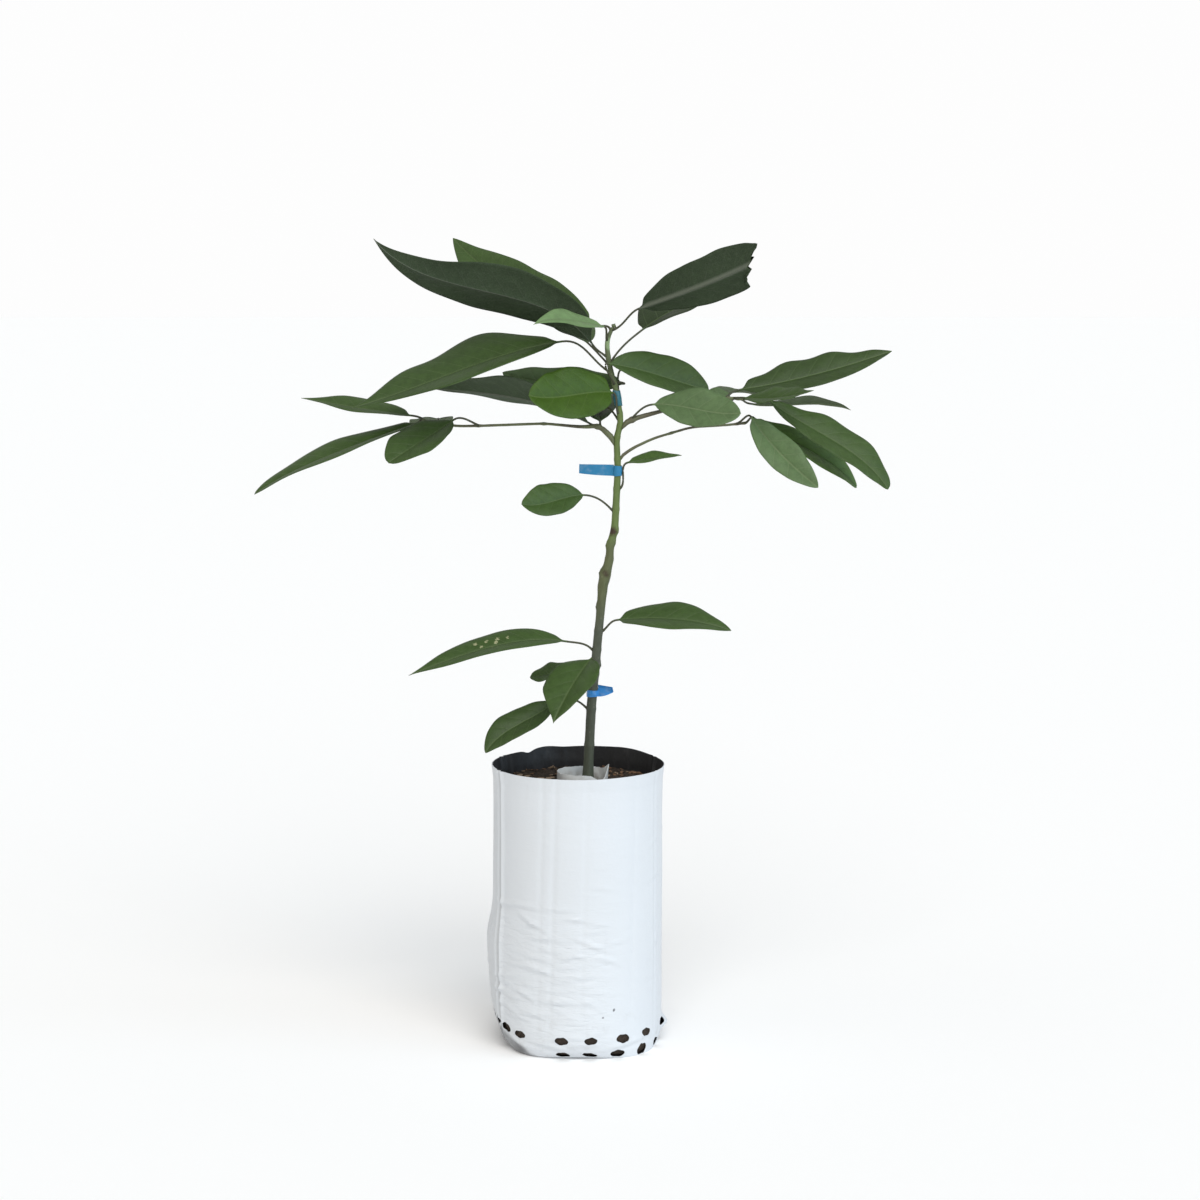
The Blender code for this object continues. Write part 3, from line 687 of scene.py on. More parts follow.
STEM_FOOT = (9.3, 0)
STEM_RUNS = (  # length, heading and rise
    (80, 8, 87), (124, -6, 84.5), (24, 0, 74.5), (14, 0, 87), (16, 10, 74), (60, -12, 87),
    (32, 170, 87.3), (13, 10, 73), (31, 185, 81.7), (22, 175, 74.5), (15, 190, 78), (18, 180, 88),
    (11, -10, 62),
)  # fmt: skip
STEM_SIDES = 48
STEM_FOOT_RADIUS = 5.0
STEM_TIP_RADIUS = 2.2
ROOT_FLARE = 2.2
GRAFT_AT = 208
GRAFT_SWELL = 1.4
TIP_BUD = 4
STEM_NUBS = (  # distance, heading and reach of each scar
    (122, 0, 1.4), (180, 180, 1.4), (213, 180, 1.8), (242, 180, 1.6), (245, 10, 1.3),
    (257, -15, 1.6),
)  # fmt: skip
SCAR_SPOTS = (  # the brown ones, in metres, and their radius
    ((0.0345, -0.003, 0.5165), 0.004), ((0.028, -0.004, 0.475), 0.003),
    ((0.025, -0.0035, 0.503), 0.0022), ((0.0131, -0.0035, 0.4452), 0.0012),
)  # fmt: skip
FRESH_SPOT = (0.0325, -0.002, 0.7005)
STEM_KNUCKLES = (39, 76, 94, 112, 120, 136, 155, 228, 278, 298, 327, 349, 360, 373, 402, 430)


class Limb:
    """A stem that grows run by run, and turns evenly over a short bend from each run to the
    next. Its radius is a function of the distance along it."""

    STEP = 1.0
    HALF_BEND = 9

    def __init__(self, start, runs, radius):
        self.radius = radius
        self.length = sum(run[0] for run in runs)
        reached = 0
        marks = []
        for length, heading, rise in runs:
            direction = towards(heading, rise)
            bend = min(self.HALF_BEND, length / 2)
            marks += [(reached + bend, direction), (reached + length - bend, direction)]
            reached += length
        marks = [(0, marks[0][1]), *marks, (reached + self.STEP, marks[-1][1])]
        self.points, self.directions = [Vector(start)], [marks[0][1]]
        for count in range(1, round(self.length / self.STEP) + 1):
            distance = count * self.STEP
            before, after = next(pair for pair in zip(marks, marks[1:]) if pair[1][0] >= distance)
            share = (distance - before[0]) / max(after[0] - before[0], self.STEP)
            direction = before[1].lerp(after[1], share).normalized()
            self.points.append(self.points[-1] + direction * self.STEP)
            self.directions.append(direction)

    def at(self, distance):
        """The middle of the limb and its direction, at a distance along it."""
        index = min(round(distance / self.STEP), len(self.points) - 1)
        return self.points[index], self.directions[index]

    def side(self, distance, aim):
        """Where a stalk or bough that heads for aim leaves the bark, and the way out there."""
        middle, along = self.at(distance)
        out = (aim - along * aim.dot(along)).normalized()
        return middle + out * (self.radius(distance) + CLEAR), out


def section(middle, along, reference, outline):
    """Points (across, upright) of an outline, set square to a direction at its middle. Upright
    is the way of the reference, as nearly as that allows."""
    upright = (reference - along * reference.dot(along)).normalized()
    across = upright.cross(along)
    return [middle + across * x + upright * y for x, y in outline]


def circle(radius, sides):
    turns = [2 * math.pi * i / sides for i in range(sides)]
    return [(-radius * math.sin(turn), radius * math.cos(turn)) for turn in turns]


def stem_radius(distance):
    share = distance / sum(run[0] for run in STEM_RUNS)
    radius = STEM_FOOT_RADIUS + (STEM_TIP_RADIUS - STEM_FOOT_RADIUS) * share**1.3
    radius += ROOT_FLARE * math.exp(-distance / 9)
    radius -= 0.8 * hump(distance, 463, 9)
    return radius + GRAFT_SWELL * hump(distance, GRAFT_AT, 16)


def bark_relief(distance, heading):
    """Shallow ridges along the stem, rough below the graft and nearly smooth above it."""
    rough = 1 - 0.75 * ease((distance - 225) / 40)
    ridges = noise.fractal(towards(heading, 0) * 2.6 + Vector((0, 0, distance / 16)), 0.9, 2.1, 4)
    root = hump(distance, 0, 16) * math.cos(math.radians(5 * heading + 40))
    lumps = noise.noise(towards(heading, 0) * 1.3 + Vector((3, 0, distance / 9)))
    union = hump(distance, GRAFT_AT, 15) * lumps
    return 0.22 * rough * ridges + 0.45 * root + 0.9 * union


def stem_outline(distance):
    """The stem's section, with the scars of old buds and leaves standing out of it."""
    outline = []
    knuckle = 0.35 * sum(hump(distance, at, 2.6) for at in STEM_KNUCKLES)
    for i in range(STEM_SIDES):
        heading = 360 * i / STEM_SIDES
        radius = stem_radius(distance) + knuckle + bark_relief(distance, heading)
        for at, nub_heading, reach in STEM_NUBS:
            turn = turn_between(heading, nub_heading)
            radius += reach * hump(distance, at, 3.5) * hump(turn, 0, 32)
            radius -= 0.45 * reach * hump(distance, at + 0.6, 1.3) * hump(turn, 0, 13)
        turn = math.radians(heading)
        outline.append((-radius * math.sin(turn), radius * math.cos(turn)))
    return outline


def stem_bark():
    """Grey-green rootstock bark with pale flecks; a smooth green scion; scars are brown."""
    bark = Finish("stem_bark", {"Specular IOR Level": 0.3})
    up = bark.height() + bark.noise(60, 2) * 0.02 - 0.01
    mottle = bark.noise(260, 5, (1, 1, 0.35), 0.65)
    stock = bark.blend(mottle, (0.040, 0.049, 0.034), (0.092, 0.102, 0.072))
    union = bark.blend(mottle, (0.058, 0.066, 0.029), (0.130, 0.145, 0.068))
    scion = bark.blend(mottle, (0.075, 0.115, 0.030), (0.140, 0.190, 0.060))
    leader = bark.blend(mottle, (0.070, 0.090, 0.045), (0.135, 0.165, 0.080))
    colour = bark.blend(bark.band(up, 0.415, 0.455), stock, union)
    colour = bark.blend(bark.band(up, 0.490, 0.520), colour, scion)
    colour = bark.blend(bark.band(up, 0.640, 0.670), colour, leader)
    place = bark.stretched(bark.place(), (1, 1, 0.45))
    flecks = bark.node("TexVoronoi", {}, {"Vector": place, "Scale": 330}, "Distance")
    fleck = bark.band(flecks, 0.22, 0.08) * bark.band(bark.noise(90, 2), 0.45, 0.6) * 0.5
    colour = bark.blend(fleck, colour, (0.26, 0.25, 0.17))
    for spot, size in SCAR_SPOTS:
        ragged = bark.from_spot(spot) + bark.noise(300, 3) * 0.004
        colour = bark.blend(bark.band(ragged, size + 0.004, size), colour, (0.045, 0.028, 0.017))
    fresh = bark.band(bark.from_spot(FRESH_SPOT), 0.008, 0.004)
    colour = bark.blend(fresh * 0.8, colour, (0.24, 0.34, 0.17))
    fissures = bark.noise(420, 5, (1, 1, 0.18), 0.6) + fleck * 0.6
    normal = bark.bump(fissures, 0.45)
    return bark.done({"Base Color": colour, "Normal": normal, "Roughness": mottle * 0.2 + 0.5})


def make_stem():
    """From the flat cut on the mix, past the graft and the forks, to the bud at the tip."""
    stem = Limb((*STEM_FOOT, SOIL_HEIGHT + CLEAR), STEM_RUNS, stem_radius)
    front = Vector((1, 0, 0))
    sections = [section(stem.points[0] - Vector((0, 0, 2)), Vector((0, 0, 1)), front, stem_outline(0))]
    for at in range(1, round(stem.length) + 1):
        sections.append(section(*stem.at(at), front, stem_outline(at)))
    tip, along = stem.at(stem.length)
    for step in range(1, 15):
        share = step / 14
        swell = 1 + 0.25 * math.sin(math.pi * min(share * 1.3, 1)) - 0.93 * ease(share * 1.25 - 0.25)
        bud = circle(STEM_TIP_RADIUS * swell, STEM_SIDES)
        sections.append(section(tip + along * TIP_BUD * share, along, front, bud))
    bm = bmesh.new()
    loft(bm, sections)
    bmesh.ops.recalc_face_normals(bm, faces=bm.faces)
    settle(new_piece("stem_with_bark", bm, stem_bark()), "stem_bark", "trunk")
    return stem


stem = make_stem()


# --- boughs -------------------------------------------------------------------------------
# Three thin young shoots of the scion, grown out of the stem with a small collar each. Their
# skin is green, browned in patches, and swells at every leaf.

LEFT_BOUGH_RUNS = (
    (26, 172, 43), (11, 175, -7), (41, 176, 5), (63, 176, -2.3), (24, 178, -1), (22, 180, 8),
    (13, 180, 13),
)  # fmt: skip
RIGHT_BOUGH_RUNS = ((14, 8, 29), (28, 8, 15), (40, 8, 12), (31, 6, 9.5), (14, 0, -4))
LOWER_BOUGH_RUNS = ((17, 5, 38), (25, 5, 25), (39, 5, 16), (36, 5, 3), (17, 5, 6))
BOUGH_SIDES = 28


def bough_bark():
    """Green skin, browned in patches, with fine lines."""
    bark = Finish("bough_bark", {"Specular IOR Level": 0.35})
    mottle = bark.noise(180, 4, (0.3, 1, 1), 0.6)
    colour = bark.blend(mottle, (0.075, 0.085, 0.045), (0.150, 0.170, 0.080))
    brown = bark.band(bark.noise(45, 3), 0.42, 0.62)
    colour = bark.blend(brown * 0.7, colour, (0.085, 0.068, 0.050))
    lines = bark.noise(500, 4, (0.2, 1, 1))
    normal = bark.bump(lines, 0.3)
    return bark.done({"Base Color": colour, "Normal": normal, "Roughness": mottle * 0.2 + 0.45})


BOUGH_BARK = bough_bark()


def make_bough(name, at, runs, fork_radius, tip_radius, stub, knuckles):
    """A bough that thins from its stub. It meets the stem with a collar, flat to the bark."""

    def radius(distance):
        return tip_radius + (fork_radius - tip_radius) * math.exp(-((distance / stub) ** 2))

    bough = Limb(stem.at(at)[0], runs, radius)
    collar, out = stem.side(at, bough.directions[0])
    up = Vector((0, 0, 1))
    sections = [section(collar - out, out, up, circle(fork_radius * 1.3, BOUGH_SIDES))]
    clear_of_bark = round(stem.radius(at) + fork_radius + 2)
    for distance in range(clear_of_bark, round(bough.length) + 1):
        swell = 1 + 0.28 * sum(hump(distance, knuckle, 2.2) for knuckle in knuckles)
        outline = []
        for x, y in circle(radius(distance) * swell, BOUGH_SIDES):
            ridge = 1 + 0.07 * noise.noise(Vector((x * 1.5, y * 1.5, distance / 7)))
            outline.append((x * ridge, y * ridge))
        sections.append(section(*bough.at(distance), up, outline))
    tip, along = bough.at(bough.length)
    for share, swell in ((0.3, 0.9), (0.6, 0.6), (0.8, 0.25)):
        end = circle(tip_radius * swell, BOUGH_SIDES)
        sections.append(section(tip + along * tip_radius * share, along, up, end))
    bm = bmesh.new()
    loft(bm, sections)
    bmesh.ops.recalc_face_normals(bm, faces=bm.faces)
    settle(new_piece(name + "_shoot", bm, BOUGH_BARK), "bough_bark", name)
    return bough


left_bough = make_bough("left_bough", 344, LEFT_BOUGH_RUNS, 3.1, 1.3, 34, (25, 78, 143, 181, 197))
right_bough = make_bough("right_bough", 360, RIGHT_BOUGH_RUNS, 2.8, 1.5, 40, (14, 56, 98, 112, 122))
lower_bough = make_bough("lower_right_bough", 327, LOWER_BOUGH_RUNS, 1.6, 1.2, 30, (60, 126, 133))


# --- leaves -------------------------------------------------------------------------------
# Thick, leathery evergreen leaves, each grown from the bark on its own stalk. The stalk runs
# on under the blade as a raised midrib, and side veins draw the blade down between soft
# quilted pads. The blade folds up a little along the midrib and waves at its margin.

STALK_RADIUS = 1.0
HALF_POINTS = 14
LEAF_POINTS = 4 * HALF_POINTS + 2
STALK_RINGS = 14
BLADE_RINGS = 84
LEAF_FORMS = {  # where the blade is widest, and how sharp its base and its tip are
    "pointed": (0.43, 0.7, 1.15),
    "oval": (0.5, 0.6, 0.7),
    "blunt": (0.56, 0.75, 0.5),
    "round": (0.5, 0.5, 0.5),
    "full": (0.46, 0.62, 0.85),
    "paddle": (0.52, 0.85, 0.55),
    "lance": (0.3, 0.5, 1.0),
}
LEAF_FOLD = 12
BLADE_THICKNESS = 0.5
VEIN_LEAN = 0.9
VEIN_CURL = 0.09
QUILT = 0.45


def leaf_skin(name, under, rough, blade, vein):
    """The skin of one side of a leaf. Its veins follow the blade's own map, which counts side
    veins along the leaf and measures across it in the same units."""
    skin = Finish(name, {"Specular IOR Level": 0.15 if under else 0.24})
    spot = skin.node("UVMap", {"uv_map": "blade"}, {})
    across, along = skin.part("X", spot), skin.part("Y", spot)
    aside = abs(across)
    phase = along - aside * VEIN_LEAN - across * across * VEIN_CURL + (across > 0) * 0.5
    from_vein = abs(phase.math("FRACT", phase) - 0.5)
    side_vein = skin.band(from_vein, 0.455, 0.495) * skin.band(aside, 2.2, 0.2)
    midrib = skin.band(aside / skin.told("streak"), 0.085 if under else 0.06, 0.02)
    pads = skin.noise(2.6, 3, place=spot)
    cells = {"Vector": spot, "Scale": 9}
    net = skin.node("TexVoronoi", {"feature": "DISTANCE_TO_EDGE"}, cells, "Distance")
    # Each leaf's tone multiplies its colour. Beside the leaf's own tone it holds painted light,
    # brightening leaves that lie in shade.
    tone = skin.told("painted_light_and_tone") * (pads * 0.6 + 0.7) * (skin.noise(14, 3) * 0.6 + 0.7)
    grey = skin.node("CombineXYZ", {}, {0: tone, 1: tone, 2: tone})
    colour = skin.blend(1, blade, grey, "MULTIPLY")
    colour = skin.blend(skin.band(net, 0.07, 0.0) * 0.2, colour, vein)
    colour = skin.blend(side_vein * (0.1 if under else 0.4), colour, vein)
    colour = skin.blend(midrib * 0.75, colour, vein)
    scarred = skin.band(skin.told("scar") * skin.noise(520, 3, (1, 1, 2)), 0.34, 0.46)
    colour = skin.blend(scarred * 0.85, colour, (0.38, 0.38, 0.22))
    colour = skin.blend(skin.band(along, 0.05, -0.12), colour, STALK_COLOUR)
    height = skin.band(net, 0.0, 0.16) * 0.25 + side_vein * (0.5 if under else -0.4)
    normal = skin.bump(height + skin.noise(900, 2) * 0.08, 0.3)
    rough = pads * 0.12 - side_vein * 0.05 + rough
    return skin.done({"Base Color": colour, "Roughness": rough, "Normal": normal})


STALK_COLOUR = (0.062, 0.066, 0.040)
# The dark and bright finishes carry painted light. Dark is the deep green of old leaves, with painted
# shade: both of its sides are as dark as an underside seen in shade. Bright is painted light: a
# lighter, yellower green for a leaf lit from above and through.
LEAF_COLOURS = {  # the upper side, then the underside: how rough, its blade and its veins
    "green": (
        (0.36, (0.042, 0.078, 0.019), (0.078, 0.120, 0.042)),
        (0.55, (0.058, 0.084, 0.038), (0.110, 0.138, 0.070)),
    ),
    "dark": (
        (0.38, (0.034, 0.058, 0.022), (0.070, 0.098, 0.044)),
        (0.58, (0.034, 0.052, 0.026), (0.135, 0.150, 0.115)),
    ),
    "bright": (
        (0.36, (0.042, 0.088, 0.009), (0.080, 0.130, 0.030)),
        (0.55, (0.066, 0.100, 0.040), (0.130, 0.165, 0.070)),
    ),
    "pale": (
        (0.42, (0.090, 0.148, 0.060), (0.150, 0.205, 0.100)),
        (0.58, (0.100, 0.142, 0.072), (0.170, 0.215, 0.120)),
    ),
}  # fmt: skip
LEAF_SKINS = {
    name: [
        leaf_skin(f"leaf_{name}_{side}", side == "under", *colours)
        for side, colours in zip(("upper", "under"), pair)
    ]
    for name, pair in LEAF_COLOURS.items()
}


def bezier(start, start_handle, end_handle, end, t):
    """The point and the direction of travel on a cubic curve."""
    a, b = start.lerp(start_handle, t), start_handle.lerp(end_handle, t)
    c = end_handle.lerp(end, t)
    d, e = a.lerp(b, t), b.lerp(c, t)
    return d.lerp(e, t), (e - d).normalized()


def blade_width(share, widest, base, tip):
    """Half the outline of a leaf, as a share of its greatest: a higher base or tip is sharper."""
    if share < widest:
        return math.sin(math.pi / 2 * share / widest) ** base
    return math.cos(math.pi / 2 * (share - widest) / (1 - widest)) ** tip


def turned(outline, roll):
    cos, sin = math.cos(math.radians(roll)), math.sin(math.radians(roll))
    return [(x * cos - y * sin, x * sin + y * cos) for x, y in outline]


def blade_shares():
    """Signed shares of the half width round a blade's section: out over its right half, back
    under it, out under the left half and back over it. They are closer near the midrib."""
    steps = [(step / HALF_POINTS) ** 1.5 for step in range(HALF_POINTS + 1)]
    over_right = [(-share, True) for share in steps]
    under_right = [(-share, False) for share in reversed(steps[1:])]
    under_left = [(share, False) for share in steps]
    over_left = [(share, True) for share in reversed(steps[1:])]
    return over_right + under_right + under_left + over_left


BLADE_SHARES = blade_shares()


def leaf(
    name, limb, at, stalk, blade, width, form="pointed", roll=0, curve=(10, -10),
    colour="green", painted_light_and_tone=1.0, twist=0, fold=LEAF_FOLD, wave=1.0, sides=(1, 1), sway=0,
    margins=None, cut=0, scars=(), streak=1.0,
):  # fmt: skip
    """A leaf, stalk and blade in one. The stalk and the blade are each (length, heading, rise),
    straight from end to end. The stalk stands square on the bark, at a distance along the limb,
    and leans towards the limb's tip. The midrib sets off and arrives above the blade's straight
    line by the two angles of its curve, and sways sideways. Roll turns the blade about its
    midrib, and twist turns its tip further. Sides widen its left and right halves, and margins
    ripple their edges by a size, a count and a phase. A cut share of the tip is torn off. Scars
    are pale spots, each a share along the blade, a signed share across it and a radius. Streak
    widens the pale line of the midrib."""
    # A leaf's tone multiplies its blade's colour. Beside its own tone it holds painted light,
    # brightening leaves that lie in shade.
    dice = random.Random(name)
    middle, along = limb.at(at)
    start, out = limb.side(at, towards(*stalk[1:]))
    if at >= limb.length:
        start, out = middle + along * CLEAR, along
    leans_out = (out + along).normalized()
    blade_start = middle + towards(*stalk[1:]) * stalk[0]
    length, heading, rise = blade
    blade_end = blade_start + towards(heading, rise) * length
    sets_off, arrives = towards(heading, rise + curve[0]), towards(heading, rise + curve[1])
    reach = (blade_start - start).length
    start = start - out * 0.8
    stalk_curve = (
        start, start + leans_out * reach * 0.4, blade_start - sets_off * reach * 0.4, blade_start,
    )  # fmt: skip
    blade_curve = (
        blade_start, blade_start + sets_off * length / 3, blade_end - arrives * length / 3, blade_end,
    )  # fmt: skip

    up = Vector((0, 0, 1))
    veins = max(5, round(length / 19))
    spacing = length / veins
    base_roll = roll - twist / 2
    sections, maps = [], []
    for step in range(STALK_RINGS):
        t = step / STALK_RINGS
        radius = STALK_RADIUS * (1 + 0.55 * math.exp(-t * reach / 2.2))
        outline = turned(circle(radius, LEAF_POINTS), base_roll * t)
        point, way = bezier(*stalk_curve, t)
        sections.append(section(point, out if step == 0 else way, up, outline))
        maps.append([(0, t - 1.2)] * LEAF_POINTS)

    waves = dice.uniform(1.6, 2.6)
    shifts = (dice.uniform(0, math.tau), dice.uniform(0, math.tau))
    margins = margins or [(0.018, waves, shift) for shift in reversed(shifts)]
    folds = math.radians(fold)
    round_stalk = circle(STALK_RADIUS, LEAF_POINTS)
    scarred = [0] * (STALK_RINGS * LEAF_POINTS)
    for step in range(BLADE_RINGS + 1):
        t = step / BLADE_RINGS
        rib = STALK_RADIUS * (1 - 0.78 * t)
        flare = ease(t / 0.07)
        outline, spots, tears, scarring = [], [], [], []
        for (share, over), (ring_x, ring_y) in zip(BLADE_SHARES, round_stalk):
            left = share > 0
            whole = blade_width(t * (1 - cut), *LEAF_FORMS[form])
            half = max(width / 2 * sides[0 if left else 1] * whole, 0.3)
            size, count, phase = margins[0 if left else 1]
            ripple = math.sin(math.tau * count * t + phase)
            half *= 1 + size * ripple + 0.01 * math.sin(29 * t + 9 * shifts[left])
            out_share = abs(share)
            x = share * half * math.cos(folds)
            y = out_share * half * math.sin(folds) + 0.2 * half * out_share * (1 - out_share)
            y += wave * ripple * out_share**2 * min(1, half / 12)
            near_tip = ease((t - 0.9) / 0.1)
            ragged = noise.fractal(Vector((share * 3.1, 5.3, 0)), 0.6, 2.1, 3)
            slant = 0.115 * (1 + share) * ease((t - 0.7) / 0.3)
            tears.append(bool(cut) * length * (slant + near_tip * 0.06 * max(0, 0.3 + ragged)))
            scarring.append(sum(
                hump(math.hypot((t - at_share) * length, (share - aside) * half), 0, spread)
                for at_share, aside, spread in scars
            ))  # fmt: skip
            beside = abs(x) / spacing
            phase = t * veins - VEIN_LEAN * beside - VEIN_CURL * beside**2 + (0.5 if left else 0)
            pad = abs(math.sin(math.pi * phase)) ** 0.7
            y += QUILT * pad * 4 * out_share * (1 - out_share) * min(1, half / 15)
            thick = BLADE_THICKNESS * (1 - 0.35 * out_share) / 2
            if over:
                y += thick - 0.25 * hump(x, 0, 1.0)
            else:
                y -= thick + 1.3 * rib * hump(x, 0, 0.9 * rib)
            outline.append((ring_x + (x - ring_x) * flare, ring_y + (y - ring_y) * flare))
            spots.append((x / spacing, t * veins))
        point, way = bezier(*blade_curve, t)
        aside = way.cross(up).normalized() * sway * math.sin(math.tau * t)
        outline = turned(outline, base_roll + twist * t)
        ring = section(point + aside, way, up, outline)
        sections.append([spot - way * tear for spot, tear in zip(ring, tears)])
        maps.append(spots)
        scarred += scarring

    bm = bmesh.new()
    rings = loft(bm, sections)
    bmesh.ops.recalc_face_normals(bm, faces=bm.faces)
    blade_map = bm.loops.layers.uv.new("blade")
    spot_of = {}
    for ring, spots in zip(rings, maps):
        for index, (vert, spot) in enumerate(zip(ring, spots)):
            spot_of[vert] = (spot, index)
    for face in bm.faces:
        places = [spot_of[vert][1] for vert in face.verts]
        under = all(HALF_POINTS < place <= 3 * HALF_POINTS + 1 for place in places)
        face.material_index = int(under)
        for loop in face.loops:
            loop[blade_map].uv = spot_of[loop.vert][0]
    piece = new_piece(name + "_blade", bm, *LEAF_SKINS[colour])
    points = len(scarred)
    for told, values in (("painted_light_and_tone", [painted_light_and_tone] * points), ("streak", [streak] * points), ("scar", scarred)):
        attribute = piece.data.attributes.new(told, "FLOAT", "POINT")
        attribute.data.foreach_set("value", values)
    settle(piece, "leaf_" + colour, name)


# Top leaves, on the last 80 mm of the stem
# Dark finish: painted shade on the underside that faces the camera.
leaf(
    "top_leaf_1", stem, 430, (20, 200, 36), (240, 198, 25), 64,
    roll=40, curve=(30, 26), colour="dark", sides=(1.02, 1.1), streak=0.3,
    margins=((0.03, 2.3, 0.8), (0.06, 4.3, 1.0)),
)  # fmt: skip
leaf(
    "top_leaf_2", stem, 456, (21, 154, 12), (244, 130, 21), 58, "full",
    roll=-45, curve=(-4, 14), sides=(1.1, 0.93),
)  # fmt: skip
leaf(
    "top_leaf_3", stem, 446, (19, 252, 45), (99, 228, 2), 28,
    roll=-34, curve=(5, -20), colour="pale", painted_light_and_tone=1.6,
)  # fmt: skip
# Dark finish: painted shade on the underside that faces the camera.
leaf(
    "top_leaf_4", stem, 457, (36, -22, 35.5), (152, -34, 19.3), 55, "oval",
    roll=-48, curve=(-3, 5), colour="dark", cut=0.17, streak=2.6, painted_light_and_tone=0.95,
)  # fmt: skip
leaf("top_leaf_5", stem, 424, (47, 20, 42), (126, 50, 15), 62, roll=4, painted_light_and_tone=0.42)
leaf(
    "top_leaf_6", stem, 415, (57, 190, 31), (216, 190, -17), 78,
    roll=-23, curve=(9, 3), painted_light_and_tone=0.9, margins=((0.15, 2.0, 0.56), (0.1, 2.2, 3.36)),
)  # fmt: skip
# Dark finish with painted shade, then brightened almost twofold by its tone: painted light against the
# shade it lies in, behind top_leaf_8.
leaf(
    "top_leaf_7", stem, 402, (12, 40, 0), (132, 157, 4), 42, "oval",
    roll=-45, curve=(-5, 15), colour="dark", sides=(1.05, 0.91), painted_light_and_tone=1.9,
)  # fmt: skip
# Bright finish: painted light, for a leaf lit from above.
leaf(
    "top_leaf_8", stem, 373, (23, 225, 63), (98, 215, 0), 56, "round",
    roll=-60, curve=(8, 15), colour="bright",
)  # fmt: skip
leaf(
    "top_leaf_9", stem, 402, (23, 235, 63), (109, 18, -15), 45, "blunt",
    roll=48, curve=(7, 0), sides=(1.17, 0.97),
)  # fmt: skip

# Left leaves: two at the bough's stub and three round its tip
# Dark finish with painted shade, brightened a little by its tone: painted light.
leaf(
    "left_leaf_1", left_bough, 25, (8, 150, 18), (167, 162, 11), 60, "full",
    roll=27, curve=(17, -8), colour="dark", sides=(1.15, 1), painted_light_and_tone=1.3,
)  # fmt: skip
# Dark finish with painted shade, brightened a little by its tone: painted light.
leaf("left_leaf_2", left_bough, 22, (8, 90, 40), (125, 93, 12), 44, colour="dark", painted_light_and_tone=1.5)
leaf(
    "left_leaf_3", left_bough, 143, (26, 198, 14), (86, 218, -27), 51, "blunt",
    roll=-20, curve=(-2, -2),
)  # fmt: skip
leaf(
    "left_leaf_4", left_bough, 200, (4, 185, -40), (176, 186, -23.3), 48, "oval",
    roll=-15, curve=(3, -10), sides=(1.15, 0.92),
)  # fmt: skip
leaf("left_leaf_5", left_bough, 197, (14, 165, 20), (113, 172, 8.5), 38, roll=-18, curve=(-2, 2))

# Right leaves: one near the fork, the rest round the bough's tip
leaf(
    "right_leaf_1", right_bough, 14, (26, -15, 36), (93, -25, -4), 45, "paddle",
    roll=52, curve=(9, 12), colour="pale", painted_light_and_tone=1.05,
)  # fmt: skip
leaf(
    "right_leaf_2", right_bough, 116, (9, 100, -10), (27, 175, 14), 16,
    roll=-30, curve=(25, -25), colour="pale",
)  # fmt: skip
leaf(
    "right_leaf_3", right_bough, 110, (18, 30, 27), (160, 10, 13.5), 48, "full",
    roll=34, curve=(-6, 5), sides=(0.97, 1.02), painted_light_and_tone=0.72,
    margins=((0.05, 3.4, 0.6), (0.08, 4.3, 2.2)),
)  # fmt: skip
leaf("right_leaf_4", right_bough, 118, (18, -60, 4), (79, -35, 7), 38, roll=22, curve=(-10, 12))
leaf("right_leaf_5", right_bough, 123, (29, 60, -13), (118, 28, -4.3), 36, roll=-15, curve=(-3, -15))
leaf(
    "right_leaf_6", right_bough, 127, (25, -8, -2), (147, -12, -36), 46, "paddle",
    roll=34, curve=(-2, -22), margins=((0.03, 3.1, 0.4), (0.05, 4.2, 1.1)),
)  # fmt: skip

# Lower right leaves, at the tip of the lowest bough
# Brightened more than twofold by its tone: painted light on a leaf that faces away from the lamps.
leaf(
    "lower_right_leaf_1", lower_bough, 134.5, (10, 10, 33), (127, 8, -34), 35, "paddle",
    roll=40, curve=(-2, -18), sides=(1, 1.12), painted_light_and_tone=2.2,
)  # fmt: skip
leaf(
    "lower_right_leaf_2", lower_bough, 126, (19, -40, 22), (100, -34, -41), 35, "oval",
    roll=52, curve=(-12, 8), colour="pale", sides=(1, 0.95),
)  # fmt: skip

# Back leaves: they fill the far side of the crown
leaf("back_leaf_1", stem, 422, (36, 135, 34), (112, 112, 8), 44)
leaf("back_leaf_2", stem, 366, (26, 138, 32), (128, 141, 1), 46)
leaf("back_leaf_3", stem, 368, (60, 86, 52), (108, 64, -5), 42)
leaf("back_leaf_4", right_bough, 98, (18, 75, 12), (100, 62, -3), 40)
leaf("back_leaf_5", left_bough, 181, (16, 100, 15), (100, 103, -17), 44)

# Middle leaves, below the forks
leaf(
    "middle_leaf_1", stem, 276, (37, 200, 27), (73, 214, -4), 37, "paddle",
    roll=-52, curve=(8, 20), sides=(0.93, 1.07), painted_light_and_tone=1.1,
)  # fmt: skip
leaf(
    "middle_leaf_2", stem, 298, (28.5, -15, 67), (57, -22, 9), 22, "lance",
    roll=25, curve=(6, 0), painted_light_and_tone=1.5,
)  # fmt: skip

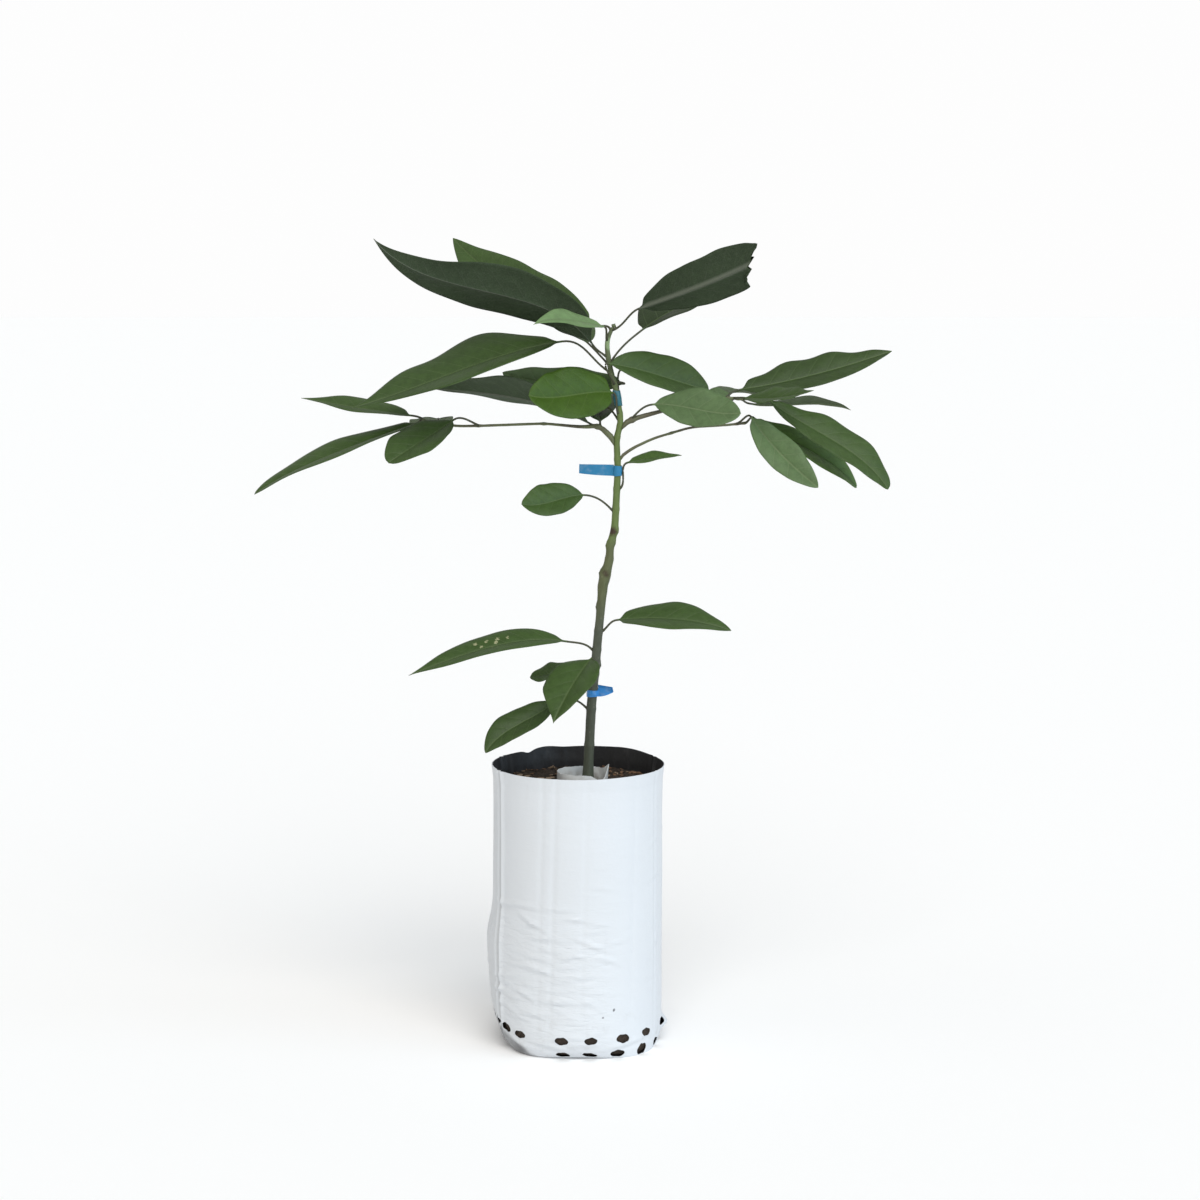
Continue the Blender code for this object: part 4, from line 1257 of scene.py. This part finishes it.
# Foot leaves, below the graft
leaf(
    "foot_leaf_1", stem, 135, (32, 188, 18), (160, 190, -10.7), 40,
    roll=-19, curve=(21, -9), sides=(1.2, 1.04),
    scars=(
        (0.36, -0.35, 3.2), (0.42, -0.42, 3.6), (0.44, -0.15, 3.0), (0.49, -0.4, 3.4),
        (0.53, -0.15, 3.0), (0.56, -0.45, 3.6), (0.47, 0.12, 2.6),
    ),
)  # fmt: skip
leaf(
    "foot_leaf_2", stem, 155, (22, -8, 31), (114, -10, -4), 48, "full",
    roll=23, curve=(11, -14), sides=(1, 1.2),
)  # fmt: skip
leaf("foot_leaf_3", stem, 121, (14, 250, 33), (94, 242, -34), 51, sides=(1.02, 1.15), streak=1.5)
leaf("foot_leaf_4", stem, 112, (22, 160, 11), (50, 155, -13), 26, "blunt", roll=-36, curve=(4, 12))
leaf(
    "foot_leaf_5", stem, 76, (38, 190, 12), (86, 200, -33), 36, "oval",
    roll=-33, curve=(-6, -26), painted_light_and_tone=0.8,
)  # fmt: skip


# --- ties ---------------------------------------------------------------------------------
# Bands of stretchy blue plastic tape that once held the stem to a cane. Each is wound round
# the stem and its two ends are pressed together into a flat tail.

TAPE_THICKNESS = 0.6


def tape_skin(name, colour):
    """Stretched plastic: drawn lines, and paler in patches."""
    tape = Finish(name, {"Specular IOR Level": 0.45})
    drawn = tape.noise(700, 3, (0.15, 0.15, 1))
    pale = tuple(0.75 * part + 0.12 for part in colour)
    tint = tape.blend(tape.band(tape.noise(160, 3), 0.45, 0.75) * 0.6, colour, pale)
    normal = tape.bump(drawn, 0.25)
    return tape.done({"Base Color": tint, "Normal": normal, "Roughness": drawn * 0.2 + 0.25})


def tie(name, at, tape_width, tail_heading, tail_length, colour, droop=0, curl=0):
    """The band and its tail in one, a loop of tape swept up across its width."""
    middle, along = stem.at(at)
    inner = stem.radius(at) * 1.05 + CLEAR
    outer = inner + TAPE_THICKNESS
    front = Vector((1, 0, 0))
    levels = 14
    root = math.degrees(math.asin(TAPE_THICKNESS / outer))
    rings = []
    tail = [outer + (tail_length - outer) * step / 16 for step in range(1, 17)]
    for level in range(levels + 1):
        share = level / levels - 0.5
        loop = []
        for reach in tail:
            fan = (reach - outer) / (tail_length - outer)
            side = -TAPE_THICKNESS / 2 + curl * fan * fan * math.sin(3 * fan + share * 2)
            loop.append((reach, side, share * (1 - 0.1 * fan), droop * fan * fan))
        back = [(reach, side + TAPE_THICKNESS, up, fall) for reach, side, up, fall in reversed(loop)]
        tail_points = []
        turn = math.radians(tail_heading)
        for reach, side, up, fall in [*loop, *back]:
            x = reach * math.cos(turn) - side * math.sin(turn)
            y = reach * math.sin(turn) + side * math.cos(turn)
            tail_points.append(middle + Vector((x, y, 0)) + along * (up * tape_width - fall))
        wound = []
        for heading in range(round(root) + 6, 356 - round(root), 8):
            angle = math.radians(tail_heading + heading)
            pucker = 0.25 * math.sin(3 * angle + 5 * share)
            reach = outer + pucker * 0.4 + 0.3 * hump(share, 0, 0.3)
            spot = Vector((reach * math.cos(angle), reach * math.sin(angle), 0))
            wound.append(middle + spot + along * share * tape_width * (1 + 0.05 * math.sin(2 * angle)))
        rings.append([*tail_points, *wound])
    inside = []
    for level in reversed(range(levels + 1)):
        share = level / levels - 0.5
        ring = []
        for point in rings[level]:
            flat = point - middle
            lift = along * flat.dot(along)
            flat = flat - lift
            ring.append(middle + flat.normalized() * min(flat.length, inner) + lift)
        inside.append(ring)
    band = bmesh.new()
    loft(band, [*rings, *inside], hollow=True)
    bmesh.ops.recalc_face_normals(band, faces=band.faces)
    piece = new_piece(name + "_band", band, tape_skin(name + "_tape", colour))
    piece.data.set_sharp_from_angle(angle=math.radians(45))
    settle(piece, "tape", name)


tie("upper_tie", 316, 10, 180, 38, (0.012, 0.170, 0.340), droop=-2)
# Painted shade: this tie's blue is painted a dark teal, as the tape looks in the shade at the leader.
tie("leader_tie", 388, 15, 90, 8, (0.015, 0.115, 0.150))
tie("lower_tie", 92, 6.5, -20, 21, (0.025, 0.215, 0.560), droop=-4.5, curl=2.5)
